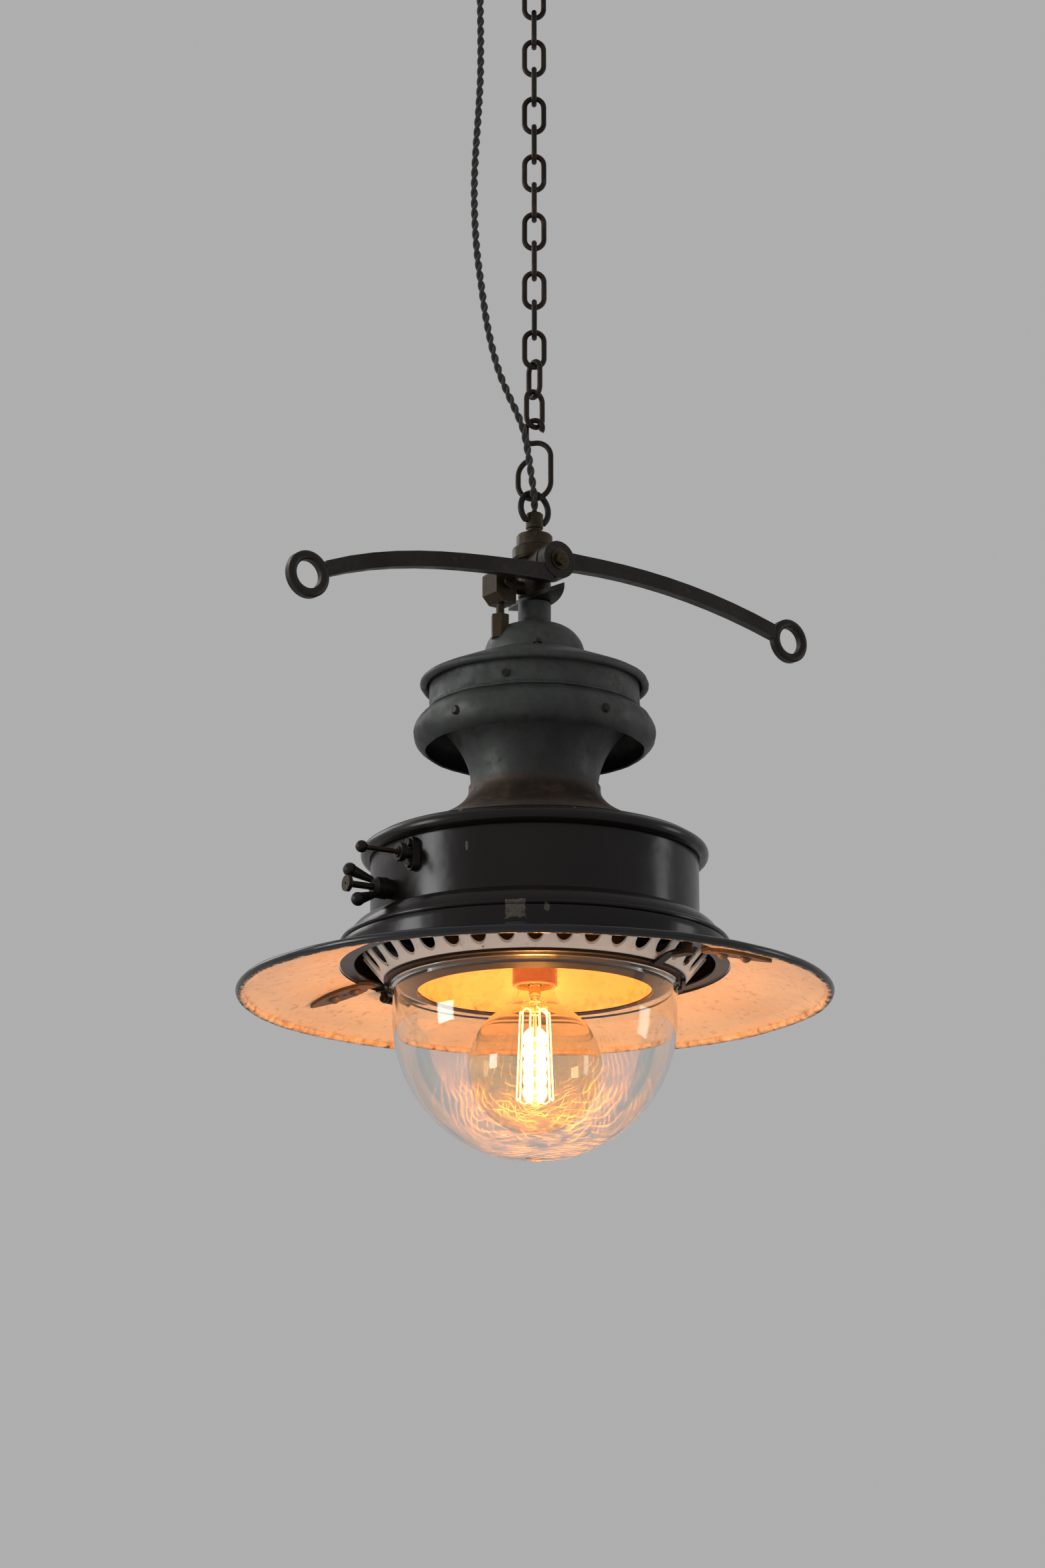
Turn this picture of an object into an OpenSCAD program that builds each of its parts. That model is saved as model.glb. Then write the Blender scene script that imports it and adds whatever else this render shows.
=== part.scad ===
// Railway pendant light: ceiling fitting, link chain, S-hook, pull-lever cock,
// ventilated chimney, enamelled body with shade, hinged globe. Millimetres, +Z up.
// The origin is the middle of the ceiling plate's top face.

/* [Ceiling] */
// Outer diameter of the ceiling plate
plate_d = 120; // [112:1:150]
// Depth of the ceiling plate
plate_h = 22; // [20:0.5:26]
// Sheet thickness of the ceiling plate
plate_wall = 1.5; // [1:0.1:2.5]
// Distance of each ceiling screw from the middle
plate_screw_off = 45; // [40:1:50]
// Wire diameter of the ceiling hook
hook_wire = 5; // [4:0.1:5.6]
// Centre-line radius of the ceiling hook
hook_r = 8; // [7.5:0.1:9]
// Distance of the cord grip from the plate's edge
grip_edge = 18; // [17:0.5:24]

/* [Chain and hooks] */
// Wire diameter of the chain and the S-hook
link_wire = 4; // [3.4:0.1:4.1]
// Outer width of a link
link_w = 18.5; // [17.5:0.1:20]
// Distance from link to link
link_pitch = 23.75; // [22:0.05:26]
// Clear radius of the S-hook's upper hook, on the wire's centre line
shook_r = 6.2; // [6.1:0.1:7]
// Radius of the S-hook's lower loop, on the wire's centre line
sloop_r = 12.5; // [12:0.1:14]
// Stock diameter of the bail
bail_wire = 4.5; // [4:0.1:5]
// Centre-line radius of the bail
bail_r = 12.5; // [12:0.1:13]

/* [Flex] */
// Diameter of the braided flex
flex_d = 5.5; // [4.5:0.1:6]

/* [Cock and lever] */
// Diameter of the inlet nipple
nipple_d = 12.8; // [12:0.1:13]
// Diameter of the upper collar
collar_d = 26.4; // [24:0.2:28]
// Diameter of the lower collar
collar2_d = 32.4; // [30:0.2:36]
// Diameter of the cross barrel
barrel_d = 26; // [25:0.2:28]
// Diameter of the plug at its thick end
plug_d = 19.2; // [18:0.1:20]
// Distance of a lever ring from the plug's axis
lever_reach = 219.6; // [180:0.2:240]
// Drop of a lever ring below the hub
lever_drop = 36.8; // [26:0.2:44]
// Lean of the lever at rest, degrees
lever_tilt = 4.53; // [-15:0.01:15]
// Thickness of the lever
lever_t = 8; // [6:0.1:8.4]
// Depth of a lever arm
lever_arm = 11.4; // [9:0.1:13]
// Outer diameter of a lever ring
ring_od = 33.5; // [30:0.1:38]
// Hole in a lever ring
ring_id = 20.5; // [16:0.1:23]
// Hub diameter of the lever
hub_d = 28; // [24:0.2:30]
// Distance of the by-pass pipe from the middle
bypass_x = 31.2; // [30:0.2:32.4]

/* [Chimney] */
// Diameter of the stem tube
stem_d = 24; // [22:0.2:25]
// Outer diameter of the lid's rolled rim
lid_d = 165.8; // [163:0.2:170]
// Outer diameter of the cowl's neck
neck_d = 152.8; // [150:0.2:153]
// Radius of the cowl's bulge
bulge_r = 14.2; // [13:0.1:15]
// Diameter of the waist pipe
waist_d = 90.8; // [88:0.2:91]
// Sheet thickness of the chimney
tin = 1.2; // [0.8:0.1:1.4]

/* [Body] */
// Diameter of the drum
drum_d = 235; // [231:0.5:235.5]
// Sheet thickness of the body
sheet = 1.5; // [1:0.1:1.8]
// Diameter of the body lid's bead
bead_d = 10; // [8:0.2:11]
// Diameter of the shoulder's band
band_d = 277; // [275:0.5:277.4]

/* [Shade] */
// Outer diameter of the shade
shade_d = 424; // [400:1:450]
// Drop of the shade from its collar to its rim
shade_drop = 18.5; // [12:0.5:30]
// Diameter of the rolled rim
rim_d = 6; // [4:0.2:8]
// Width of a strap
strap_w = 20; // [14:0.5:22]
// Thickness of a strap
strap_t = 2.5; // [1.6:0.1:3]

/* [Gallery and globe] */
// Number of notches in the gallery ring
slots = 36; // [24:4:36]
// Width of a notch
slot_w = 12.5; // [9:0.1:13.5]
// Radial depth of a slot
slot_depth = 11; // [7:0.1:12]
// Outer diameter of the gallery ring
gallery_d = 243; // [238:0.5:250]
// Outer diameter of the globe glass
glass_d = 202; // [198:0.5:202.4]
// Thickness of the globe glass
glass_t = 2.5; // [2:0.1:3]

/* [Lamp] */
// Diameter of the bulb
bulb_d = 95; // [80:1:98]
// Outer diameter of the lampholder
holder_d = 32; // [31:0.2:33]
// Diameter of the filament cage
cage_d = 30; // [20:1:34]
// Filament wire diameter
fil_d = 0.8; // [0.5:0.1:1]

/* [Regulators] */
// Diameter of a regulator's hub
wing_d = 15; // [13:0.2:16]
// Reach of a wing from its hub
wing_reach = 20.5; // [16:0.5:22]
// Diameter of a wing's ball end
ball_d = 9.8; // [8:0.1:11.4]
// Diameter of the upper spindle's ball
up_ball = 8.6; // [7:0.1:11]

/* [Fits] */
// Gap between parts that rest on each other
seat_gap = 0.1; // [0.06:0.01:0.2]
// Gap around parts that turn
turn_gap = 0.15; // [0.1:0.01:0.25]
// Gap around parts pushed or screwed together
fit_gap = 0.1; // [0.06:0.01:0.2]

/* [Output] */
// Which sub-part to draw

/* [Hidden] */
$fn = 64;
// the photograph's left-right direction stands at this azimuth
side_az = -36.87;
// heights of the hanging line
hook_z = -plate_h - 19.75;
grip_off = plate_d / 2 - grip_edge;
link_l = link_pitch + seat_gap;
link0_z = hook_z + hook_wire / 2 + seat_gap - link_l / 2;
last_z = link0_z - 15 * link_pitch;
// height that the crossing round wires of the last link and the S-hook need
shook_lift = 1.2;
// radius at which the S-hook's free end curls in
scurl_r = 13;
shook_z = last_z - link_l / 2 + link_wire / 2 + shook_lift;
sbot_z = shook_z - 61.5;
// the lamp below is drawn at its own heights and follows the chain
lift = sbot_z + link_wire / 2 + bail_wire / 2 + seat_gap - (-486.65 + bail_r);
barrel_z = -533.5;
lever_y = -26.2;
pin_r = 132.2;
pin_z = -838;
catch_r = 133.5;
reg_az = 174;
low_z = -788.6;
up_z = -769;
up_foot = 188;
low_boss = 8.5;
// azimuth of the globe's hinge; its catch is opposite
door_az = 105;
// top of the body's shoulder, on which the drum stands
shoulder_z = -800;
gallery_top = -823;
// radius of the flare's foot
flare_r = 71;
// top of the body's lid and the middle of its bead
blid_z = -725.6;
lid_bead_z = blid_z - 24.4;
// top of the drum, under the bead
drum_top = lid_bead_z - bead_d / 2 - seat_gap;
drum_r = drum_d / 2;
// azimuths of the cap's screws and of the screws in the cowl's neck
cap_az = [-124, -4, 116];
neck_az = [-142.4, -22.4, 97.6];
neck_screw_z = -634.7;
// the lid's rolled rim and the underside that the cowl meets
lid_rim_r = lid_d / 2 - 3;
neck_r = neck_d / 2;
skirt_r = neck_r - tin - fit_gap;
cowl_top = lid_under(neck_r) - seat_gap;
// the upper regulator: its boss, its ears and its spindle
up_boss = 15;
up_arm = 27.2;
up_ear = 7.4;
up_ear_t = 4.2;
band_r = band_d / 2;
waist_r = waist_d / 2;

function arc(cx, cz, r, a0, a1, n) =
  [for (i = [0:n]) let (a = a0 + (a1 - a0) * i / n) [cx + r * cos(a), cz + r * sin(a)]];
function back(v) = [for (i = [len(v) - 1:-1:0]) v[i]];
function shift(v, dx, dz) = [for (p = v) [p[0] + dx, p[1] + dz]];
// height of the shade's upper face at radius r, and its slope there in degrees
function shade_z(r) = -830.2 - shade_drop * pow((r - 139) / (shade_d / 2 - 142), 1.12);
function shade_tilt(r) = atan(shade_z(r - 0.5) - shade_z(r + 0.5));
// underside of the chimney's lid and top of the body's lid at radius r
function lid_under(r) = -602.4 - 17 * (r - 38) / (lid_rim_r - 40.4);
function body_lid_top(r) = blid_z - 17 * (r - 46.5) / (drum_r - 47);
// stands its children on the shade's upper face at radius r and azimuth a, square to it
module on_shade(r, a) {
  rotate([0, 0, a])
    translate([r, 0, shade_z(r)])
      rotate([0, shade_tilt(r), 0])
        children();
}

// a round bar from p to q
module bar(p, q, r1, r2) {
  d = q - p;
  l = norm(d);
  translate(p)
    rotate([0, acos(d[2] / l), atan2(d[1], d[0])])
      cylinder(h = l, r1 = r1, r2 = r2);
}
// a round bar bent in the XZ plane about c, from angle a0 to a1
module bend(c, r, wire, a0, a1) {
  translate([c[0], 0, c[1]])
    rotate([90, 0, 0])
      rotate([0, 0, a0])
        rotate_extrude(angle = a1 - a0)
          translate([r, 0])
            circle(d = wire);
}
module turned(pts) {
  rotate_extrude($fn = 128)
    polygon(pts);
}
module tube(ro, ri, z0, z1) {
  translate([0, 0, z0])
    difference() {
      cylinder(h = z1 - z0, r = ro);
      translate([0, 0, -1])
        cylinder(h = z1 - z0 + 2, r = ri);
    }
}
module hexnut(af, ri, z0, z1) {
  translate([0, 0, z0])
    difference() {
      intersection() {
        cylinder(h = z1 - z0, d = af / cos(30), $fn = 6);
        cylinder(h = z1 - z0, d1 = af * 1.1, d2 = af * 1.18);
      }
      translate([0, 0, -1])
        cylinder(h = z1 - z0 + 2, r = ri);
    }
}
// one chain link in the XZ plane, its middle at the origin
module link() {
  r = (link_w - link_wire) / 2;
  h = (link_l + 2 * link_wire - link_w) / 2;
  for (s = [-1, 1])
    translate([s * r, 0, -h])
      cylinder(h = 2 * h, d = link_wire);
  bend([0, h], r, link_wire, 0, 180);
  bend([0, -h], r, link_wire, 180, 360);
}
function link_turn(i) = i == 13 ? -31 : i == 14 ? -93 : i == 15 ? 0 : i % 2 == 0 ? 53.13 : side_az;
module at_door(r, z) {
  rotate([0, 0, door_az])
    translate([r, 0, z])
      children();
}
module at_side(r, z) {
  rotate([0, 0, side_az])
    translate([r, 0, z])
      children();
}

module ceiling_plate() {
  color([0.10, 0.10, 0.10])
    difference() {
      union() {
        rotate_extrude($fn = 128)
          difference() {
            union() {
              translate([0, -plate_h + 6])
                square([plate_d / 2, plate_h - 6]);
              translate([0, -plate_h])
                square([plate_d / 2 - 6, plate_h]);
              translate([plate_d / 2 - 6, -plate_h + 6])
                circle(r = 6);
            }
            translate([0, -plate_h + plate_wall])
              square([plate_d / 2 - 7, plate_h]);
            translate([0, -plate_h + 7])
              square([plate_d / 2 - plate_wall, plate_h]);
          }
        for (s = [-1, 1])
          rotate([0, 0, 53.13])
            translate([s * plate_screw_off, 0, -plate_h + 1])
              cylinder(h = plate_h - 1, d = 9);
        // the strap between the two screw posts lies on the ceiling
        rotate([0, 0, 53.13])
          translate([-plate_screw_off, -6, -2])
            cube([2 * plate_screw_off, 12, 2]);
      }
      translate([0, 0, -plate_h - 1])
        cylinder(h = 8, d = hook_wire + 2 * fit_gap);
      for (s = [-1, 1])
        rotate([0, 0, 53.13])
          translate([s * plate_screw_off, 0, -plate_h - 1])
            cylinder(h = plate_h + 2, d = 5);
      rotate([0, 0, side_az])
        translate([-grip_off, 0, -plate_h - 1])
          cylinder(h = 8, d = 12.2);
    }
}
module ceiling_screws() {
  color([0.45, 0.42, 0.36])
    for (s = [-1, 1])
      rotate([0, 0, 53.13])
        translate([s * plate_screw_off, 0, 0])
          difference() {
            union() {
              translate([0, 0, -plate_h - 1])
                cylinder(h = plate_h + 0.9, d = 4.6);
              translate([0, 0, -plate_h - 3 - seat_gap])
                cylinder(h = 3, d = 9);
            }
            translate([-6, -0.6, -plate_h - 4])
              cube([12, 1.2, 2.1]);
          }
}
module ceiling_hook() {
  color([0.13, 0.12, 0.11])
    rotate([0, 0, side_az]) {
      bend([0, hook_z + hook_r], hook_r, hook_wire, 90, 372);
      translate([0, 0, hook_z + 2 * hook_r - 1])
        cylinder(h = -hook_z - 2 * hook_r - plate_h + 9, d = hook_wire);
      translate([0, 0, -plate_h - 3])
        cylinder(h = 3 - seat_gap, d = 14);
    }
}
module hook_nut() {
  color([0.45, 0.42, 0.36])
    hexnut(9, hook_wire / 2 + fit_gap, -plate_h + plate_wall + seat_gap, -plate_h + 6.5);
}
module cord_grip() {
  color([0.35, 0.27, 0.14])
    rotate([0, 0, side_az])
      translate([-grip_off, 0, 0])
        difference() {
          union() {
            translate([0, 0, -plate_h - seat_gap - 5])
              cylinder(h = 5, d = 18, $fn = 6);
            translate([0, 0, -plate_h - 14])
              cylinder(h = 10, d1 = 10, d2 = 14);
            translate([0, 0, -plate_h - 1])
              cylinder(h = 9, d = 12);
          }
          translate([0, 0, -plate_h - 15])
            cylinder(h = 26, d = flex_d + 1);
        }
}
module cord_grip_nut() {
  color([0.35, 0.27, 0.14])
    rotate([0, 0, side_az])
      translate([-grip_off, 0, 0])
        hexnut(17, 6 + fit_gap, -plate_h + plate_wall + seat_gap, -plate_h + 6);
}
module top_link() {
  color([0.20, 0.15, 0.10])
    translate([0, 0, link0_z])
      rotate([0, 0, link_turn(0)])
        link();
}
module chain_links() {
  color([0.20, 0.15, 0.10])
    for (i = [1:15])
      translate([0, 0, link0_z - i * link_pitch])
        rotate([0, 0, link_turn(i)])
          link();
}
module s_hook() {
  z1 = shook_z - shook_r;
  x2 = 4.2 - shook_r;
  z3 = shook_z - 17.9;
  zl = sbot_z + sloop_r;
  color([0.17, 0.14, 0.11])
    rotate([0, 0, -53.13]) {
      bend([0, z1], shook_r, link_wire, 0, 180);
      translate([0, 0, z1])
        mirror([0, 0, 1])
          bend([0, 0], shook_r, link_wire, 0, 30);
      translate([-shook_r, 0, z3 + 4.2])
        cylinder(h = z1 - z3 - 4.2, d = link_wire);
      bend([x2, z3 + 4.2], 4.2, link_wire, 180, 270);
      translate([x2, 0, z3])
        rotate([0, 90, 0])
          cylinder(h = 1 - x2, d = link_wire);
      bend([1, z3 - sloop_r + 1], sloop_r - 1, link_wire, 0, 90);
      translate([sloop_r, 0, zl])
        cylinder(h = z3 - sloop_r + 1 - zl, d = link_wire);
      bend([0, zl], sloop_r, link_wire, 180, 360);
      translate([-sloop_r, 0, zl])
        cylinder(h = 6, d = link_wire);
      translate([scurl_r - sloop_r, 0, zl + 6])
        mirror([1, 0, 0])
          bend([0, 0], scurl_r, link_wire, 0, 60);
    }
}
// the flex: a round tube swept along its route; left-right, depth and height
flex_route = [[-42, 0, -36.1], [-41.6, 0, -52], [-41, 0, -80], [-40.6, -0.5, -110], [-40.8, -1, -140],
  [-42.2, -2, -170], [-44, -3, -200], [-45, -4, -228], [-44.6, -5, -256], [-42.8, -6.2, -284],
  [-39.6, -7.4, -311], [-36, -8.5, -338], [-31.4, -9.5, -362], [-25.8, -10.4, -383],
  [-19, -11.2, -401], [-12.6, -11.8, -416], [-8, -12, -429], [-5.6, -11.6, -441],
  [-3.8, -11.4, -452], [-2.4, -11.4, -463], [-1, -10, -472.5], [-0.2, -6, -480.4],
  [0, -1.6, -485.4], [0, -0.1, -488], [0, 0, -489.9]];
flex_sub = 3;
flex_sides = 10;
function cr(a, b, c, d, t) =
  0.5 * (2 * b + (c - a) * t + (2 * a - 5 * b + 4 * c - d) * t * t
  + (3 * b - a - 3 * c + d) * t * t * t);
function rp(i) = flex_route[max(0, min(len(flex_route) - 1, i))];
flex_pts = [for (i = [0:len(flex_route) - 2])
  for (k = [0:flex_sub - 1]) cr(rp(i - 1), rp(i), rp(i + 1), rp(i + 2), k / flex_sub),
  rp(len(flex_route) - 1)];
function fdir(i) = let (n = len(flex_pts) - 1)
  i == 0 || i == n ? [0, 0, -1] :
  let (d = flex_pts[i + 1] - flex_pts[i - 1]) d / norm(d);
// moved from the photograph's axes to the part's own
function to_part(p) = [0.8 * p[0] + 0.6 * p[1], -0.6 * p[0] + 0.8 * p[1],
  p[2] + (p[2] < -60 ? lift * (-p[2] - 60) / 430 : 0)];
module flex() {
  n = len(flex_pts);
  m = flex_sides;
  ring = [for (i = [0:n - 1])
    let (d = fdir(i), u0 = [1, 0, 0] - d[0] * d, u = u0 / norm(u0), v = cross(d, u))
    for (k = [0:m - 1]) to_part(flex_pts[i]
      + flex_d / 2 * (cos(360 * k / m) * u + sin(360 * k / m) * v))];
  faces = [[for (k = [0:m - 1]) k], [for (k = [m - 1:-1:0]) (n - 1) * m + k],
    for (i = [0:n - 2]) for (k = [0:m - 1])
      [i * m + k, (i + 1) * m + k, (i + 1) * m + (k + 1) % m, i * m + (k + 1) % m]];
  color([0.05, 0.05, 0.05])
    polyhedron(points = ring, faces = faces, convexity = 6);
}

module bail() {
  c = -486.65;
  x = bail_r * cos(50);
  z = c - bail_r * sin(50);
  color([0.16, 0.13, 0.10])
    translate([0, 0, lift]) {
      bend([0, c], bail_r, bail_wire, -50, 230);
      for (s = [-1, 1])
        bar([s * 4.4, 0, z], [s * (x + 0.4), 0, z], 1.7, 1.7);
    }
}
module inlet_nipple() {
  r = nipple_d / 2;
  z = -486.65 - bail_r * sin(50);
  color([0.42, 0.31, 0.13])
    translate([0, 0, lift])
      difference() {
        turned([[3.4, -513], [5.2, -513], [5.2, -507.01], [r, -507.01], [r, -505], [r - 0.8, -504],
          [r - 0.8, -502.6], [r, -501.6], [r, -491], [r - 1, -490], [4.2, -490], [3.4, -491]]);
        for (s = [-1, 1])
          bar([s * 4.2, 0, z], [s * 9, 0, z], 1.7 + fit_gap, 1.7 + fit_gap);
      }
}
module inner_flex() {
  color([0.05, 0.05, 0.05])
    translate([0, 0, lift - 806])
      cylinder(h = 806 - 490, d = flex_d);
}
module cock_body() {
  rc = collar2_d / 2;
  color([0.22, 0.18, 0.12])
    translate([0, 0, lift])
      difference() {
        union() {
          turned([[0, -507 - seat_gap], [collar_d / 2 - 1, -507 - seat_gap],
            [collar_d / 2, -508.4], [collar_d / 2, -516], [collar_d / 2 - 1, -517],
            [rc - 1.6, -517], [rc - 0.5, -517.6], [rc, -519], [rc, -525.5],
            [rc - 0.8, -527.4], [rc - 3, -528], [12, -529.5], [12, -555], [11.4, -556.2], [0, -556.2]]);
          translate([0, 19, barrel_z])
            rotate([90, 0, 0])
              cylinder(h = 39.5, d = barrel_d);
          translate([0, 19, barrel_z])
            rotate([90, 0, 0])
              cylinder(h = 3, d = barrel_d + 2);
          translate([0, -17.5, barrel_z])
            rotate([90, 0, 0])
              cylinder(h = 3, d = barrel_d + 2);
        }
        translate([0, 0, -513.5])
          cylinder(h = 8, r = 5.2 + fit_gap);
        translate([0, 0, -560])
          cylinder(h = 60, r = 3.6);
        translate([0, 0, -560])
          cylinder(h = 12.5, r = 8 + fit_gap);
        translate([0, 19.5, barrel_z])
          rotate([90, 0, 0])
            cylinder(h = 41, r1 = plug_d / 2 - 1.6 + turn_gap, r2 = plug_d / 2 + turn_gap);
      }
}
module stop_plate() {
  color([0.12, 0.11, 0.10])
    translate([0, 0, lift])
      difference() {
        intersection() {
          translate([0, -2, -562])
            linear_extrude(height = 16)
              intersection() {
                translate([47, 0])
                  circle(r = 58);
                translate([-47, 0])
                  circle(r = 58);
              }
          translate([-20, 0, -409.9])
            rotate([0, 90, 0])
              difference() {
                cylinder(h = 40, r = 150, $fn = 128);
                translate([0, 0, -1])
                  cylinder(h = 42, r = 147, $fn = 128);
              }
        }
        translate([0, 0, -565])
          cylinder(h = 20, r = 8 + fit_gap);
      }
}
module cock_plug() {
  sq = 8;
  color([0.40, 0.30, 0.14])
    translate([0, 0, lift])
      difference() {
        union() {
          translate([0, 18.5, barrel_z])
            rotate([90, 0, 0])
              cylinder(h = 40, r1 = plug_d / 2 - 1.56, r2 = plug_d / 2);
          translate([0, 29, barrel_z])
            rotate([90, 0, 0])
              cylinder(h = 11, r = 4);
          translate([0, lever_y, barrel_z])
            rotate([0, -lever_tilt, 0])
              translate([-sq / 2, -lever_t / 2 + 0.3, -sq / 2])
                cube([sq, 9, sq]);
        }
        translate([0, 3.4, barrel_z])
          rotate([90, 0, 0])
            linear_extrude(height = 6.8)
              polygon([[-9.1, 12], [6.8, 12], [3.5, 0], [9.1, -12], [-6.8, -12], [-3.5, 0]]);
        translate([0, -34, barrel_z])
          rotate([-90, 0, 0])
            cylinder(h = 15, r = 2.1);
      }
}
function right_mid(s) = -lever_drop * pow(s / lever_reach, 2.2);
function left_mid(s) = -10 - (lever_drop - 10) * pow(s / lever_reach, 3.2);
function arm_half(s) = lever_arm / 2 + 1.4 * exp(-s / 18);
module lever() {
  s1 = lever_reach - ring_od / 2 + 2;
  ss = [for (i = [0:10]) s1 * i / 10];
  sl = [for (i = [0:10]) 6 + (s1 - 6) * i / 10];
  color([0.14, 0.13, 0.12])
    translate([0, lever_y, barrel_z + lift])
      rotate([0, -lever_tilt, 0])
        rotate([90, 0, 0])
          difference() {
            union() {
              translate([0, 0, -lever_t / 2 + 0.5])
                linear_extrude(height = lever_t - 1)
                  polygon(concat([for (s = ss) [s, right_mid(s) + arm_half(s)]],
                    [for (s = back(ss)) [s, right_mid(s) - arm_half(s)]]));
              translate([0, 0, -lever_t / 2 + 0.5])
                linear_extrude(height = lever_t - 1)
                  polygon(concat([for (s = sl) [-s, left_mid(s) + arm_half(s)]],
                    [for (s = back(sl)) [-s, left_mid(s) - arm_half(s)]]));
              translate([0, 0, -lever_t / 2])
                cylinder(h = lever_t, d = hub_d);
              for (s = [-1, 1])
                translate([s * lever_reach, -lever_drop, 0])
                  rotate_extrude()
                    translate([(ring_od + ring_id) / 4, 0])
                      intersection() {
                        circle(d = lever_t);
                        square([(ring_od - ring_id) / 2, lever_t], center = true);
                      }
            }
            for (s = [-1, 1])
              translate([s * lever_reach, -lever_drop, -10])
                cylinder(h = 20, d = ring_id - 0.2);
            cube([8 + 2 * fit_gap, 8 + 2 * fit_gap, 20], center = true);
          }
}
module lever_screw() {
  color([0.30, 0.25, 0.16])
    translate([0, lever_y - lever_t / 2 - seat_gap, barrel_z + lift])
      rotate([90, 0, 0])
        difference() {
          union() {
            cylinder(h = 1, d = 15);
            translate([0, 0, 1])
              cylinder(h = 3, d = 10);
            translate([0, 0, -9])
              cylinder(h = 9.5, d = 4);
          }
          rotate([0, 0, 30])
            translate([-6, -0.7, 2.6])
              cube([12, 1.4, 3]);
        }
}
module plug_nut() {
  color([0.30, 0.25, 0.16])
    translate([0, 19 + seat_gap, barrel_z + lift])
      rotate([-90, 0, 0]) {
        tube(10.5, 4 + fit_gap, 0, 1.5);
        hexnut(14, 4 + fit_gap, 1.4, 7.5);
      }
}
module bypass_block() {
  color([0.38, 0.29, 0.14])
    translate([0, 0, lift])
      difference() {
        union() {
          translate([0, 8.5, 0])
            rotate([90, 0, 0])
              linear_extrude(height = 17)
                polygon([[-41, -545], [-39, -543], [-23, -543], [-23, -566], [-35, -566], [-41, -560]]);
          bar([-24, 0, -550], [-10.5, 0, -550], 5, 5);
        }
        translate([0, 0, -560])
          cylinder(h = 30, r = 12 + seat_gap);
        translate([-bypass_x, 0, -567])
          cylinder(h = 6, r = 3 + fit_gap);
        translate([-31, -9, -551.5])
          rotate([-90, 0, 0])
            cylinder(h = 10, r = 2 + fit_gap);
      }
}
module bypass_screw() {
  color([0.30, 0.25, 0.16])
    translate([-31, -8.5 - seat_gap, -551.5 + lift])
      rotate([90, 0, 0])
        difference() {
          union() {
            cylinder(h = 3.4, d = 9);
            translate([0, 0, -8])
              cylinder(h = 8.5, d = 4);
          }
          rotate([0, 0, -25])
            translate([-6, -0.6, 2])
              cube([12, 1.2, 3]);
        }
}
module bypass_pipe() {
  color([0.35, 0.22, 0.12])
    translate([-bypass_x, 0, lift])
      tube(3, 2, -581, -562);
}
module cap_outer(grow) {
  turned(concat([[0, -601.5], [36.5 + grow, -601.5]],
    arc(14, -600, 22.5 + grow, 0, 90, 10), [[0, -577.5 + grow]]));
}
module bypass_nut() {
  color([0.38, 0.29, 0.14])
    translate([0, 0, lift])
      difference() {
        translate([-bypass_x, 0, 0])
          hexnut(12, 3 + fit_gap, -592, -574.4);
        cap_outer(seat_gap);
      }
}
module stem_tube() {
  r = stem_d / 2;
  color([0.15, 0.15, 0.14])
    translate([0, 0, lift])
      turned([[3.6, -548.5], [8, -548.5], [8, -560], [r, -560], [r, -573], [13, -575.4], [14, -577.2],
        [14, -577.4], [8 + fit_gap, -577.4], [8 + fit_gap, -569.8], [3.6, -569.8]]);
}
module stem_locknut() {
  color([0.30, 0.28, 0.24])
    translate([0, 0, lift])
      hexnut(24, 8 + fit_gap, -586, -579.6);
}
module chimney_cap() {
  color([0.19, 0.20, 0.18])
    translate([0, 0, lift])
      turned(concat([[36.5, -601]], arc(14, -600, 22.5, 0, 90, 10), [[8 + fit_gap, -577.5],
        [8 + fit_gap, -579.5]], back(arc(14, -600, 20.5, 12, 90, 8)), [[33.6, -599.8],
        [29, -599.8], [29, -601]]));
}
module cap_screws() {
  color([0.30, 0.28, 0.24])
    translate([0, 0, lift])
      for (a = cap_az)
        rotate([0, 0, a])
          translate([42, 0, 0]) {
            translate([0, 0, -608])
              cylinder(h = 7, r = 1.8);
            translate([0, 0, -602.2])
              cylinder(h = 2.8, r1 = 3.1, r2 = 2.6);
            translate([0, 0, -608.4])
              cylinder(h = 2.6, d = 6.4, $fn = 6);
          }
  color([0.30, 0.26, 0.20])
    translate([0, 0, lift])
      for (a = neck_az)
        rotate([0, 0, a])
          translate([neck_r + seat_gap, 0, neck_screw_z])
            rotate([0, 90, 0])
              slot_screw(5.6, 2, 1.5, 5.5, 40);
  color([0.30, 0.26, 0.20])
    translate([0, 0, lift])
      along_upper()
        for (s = [-1, 1])
          translate([s * up_ear, 0, up_ear_t + seat_gap])
            slot_screw(6, 2.4, 1.6, up_ear_t + 4, 20 + 40 * s);
}
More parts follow.
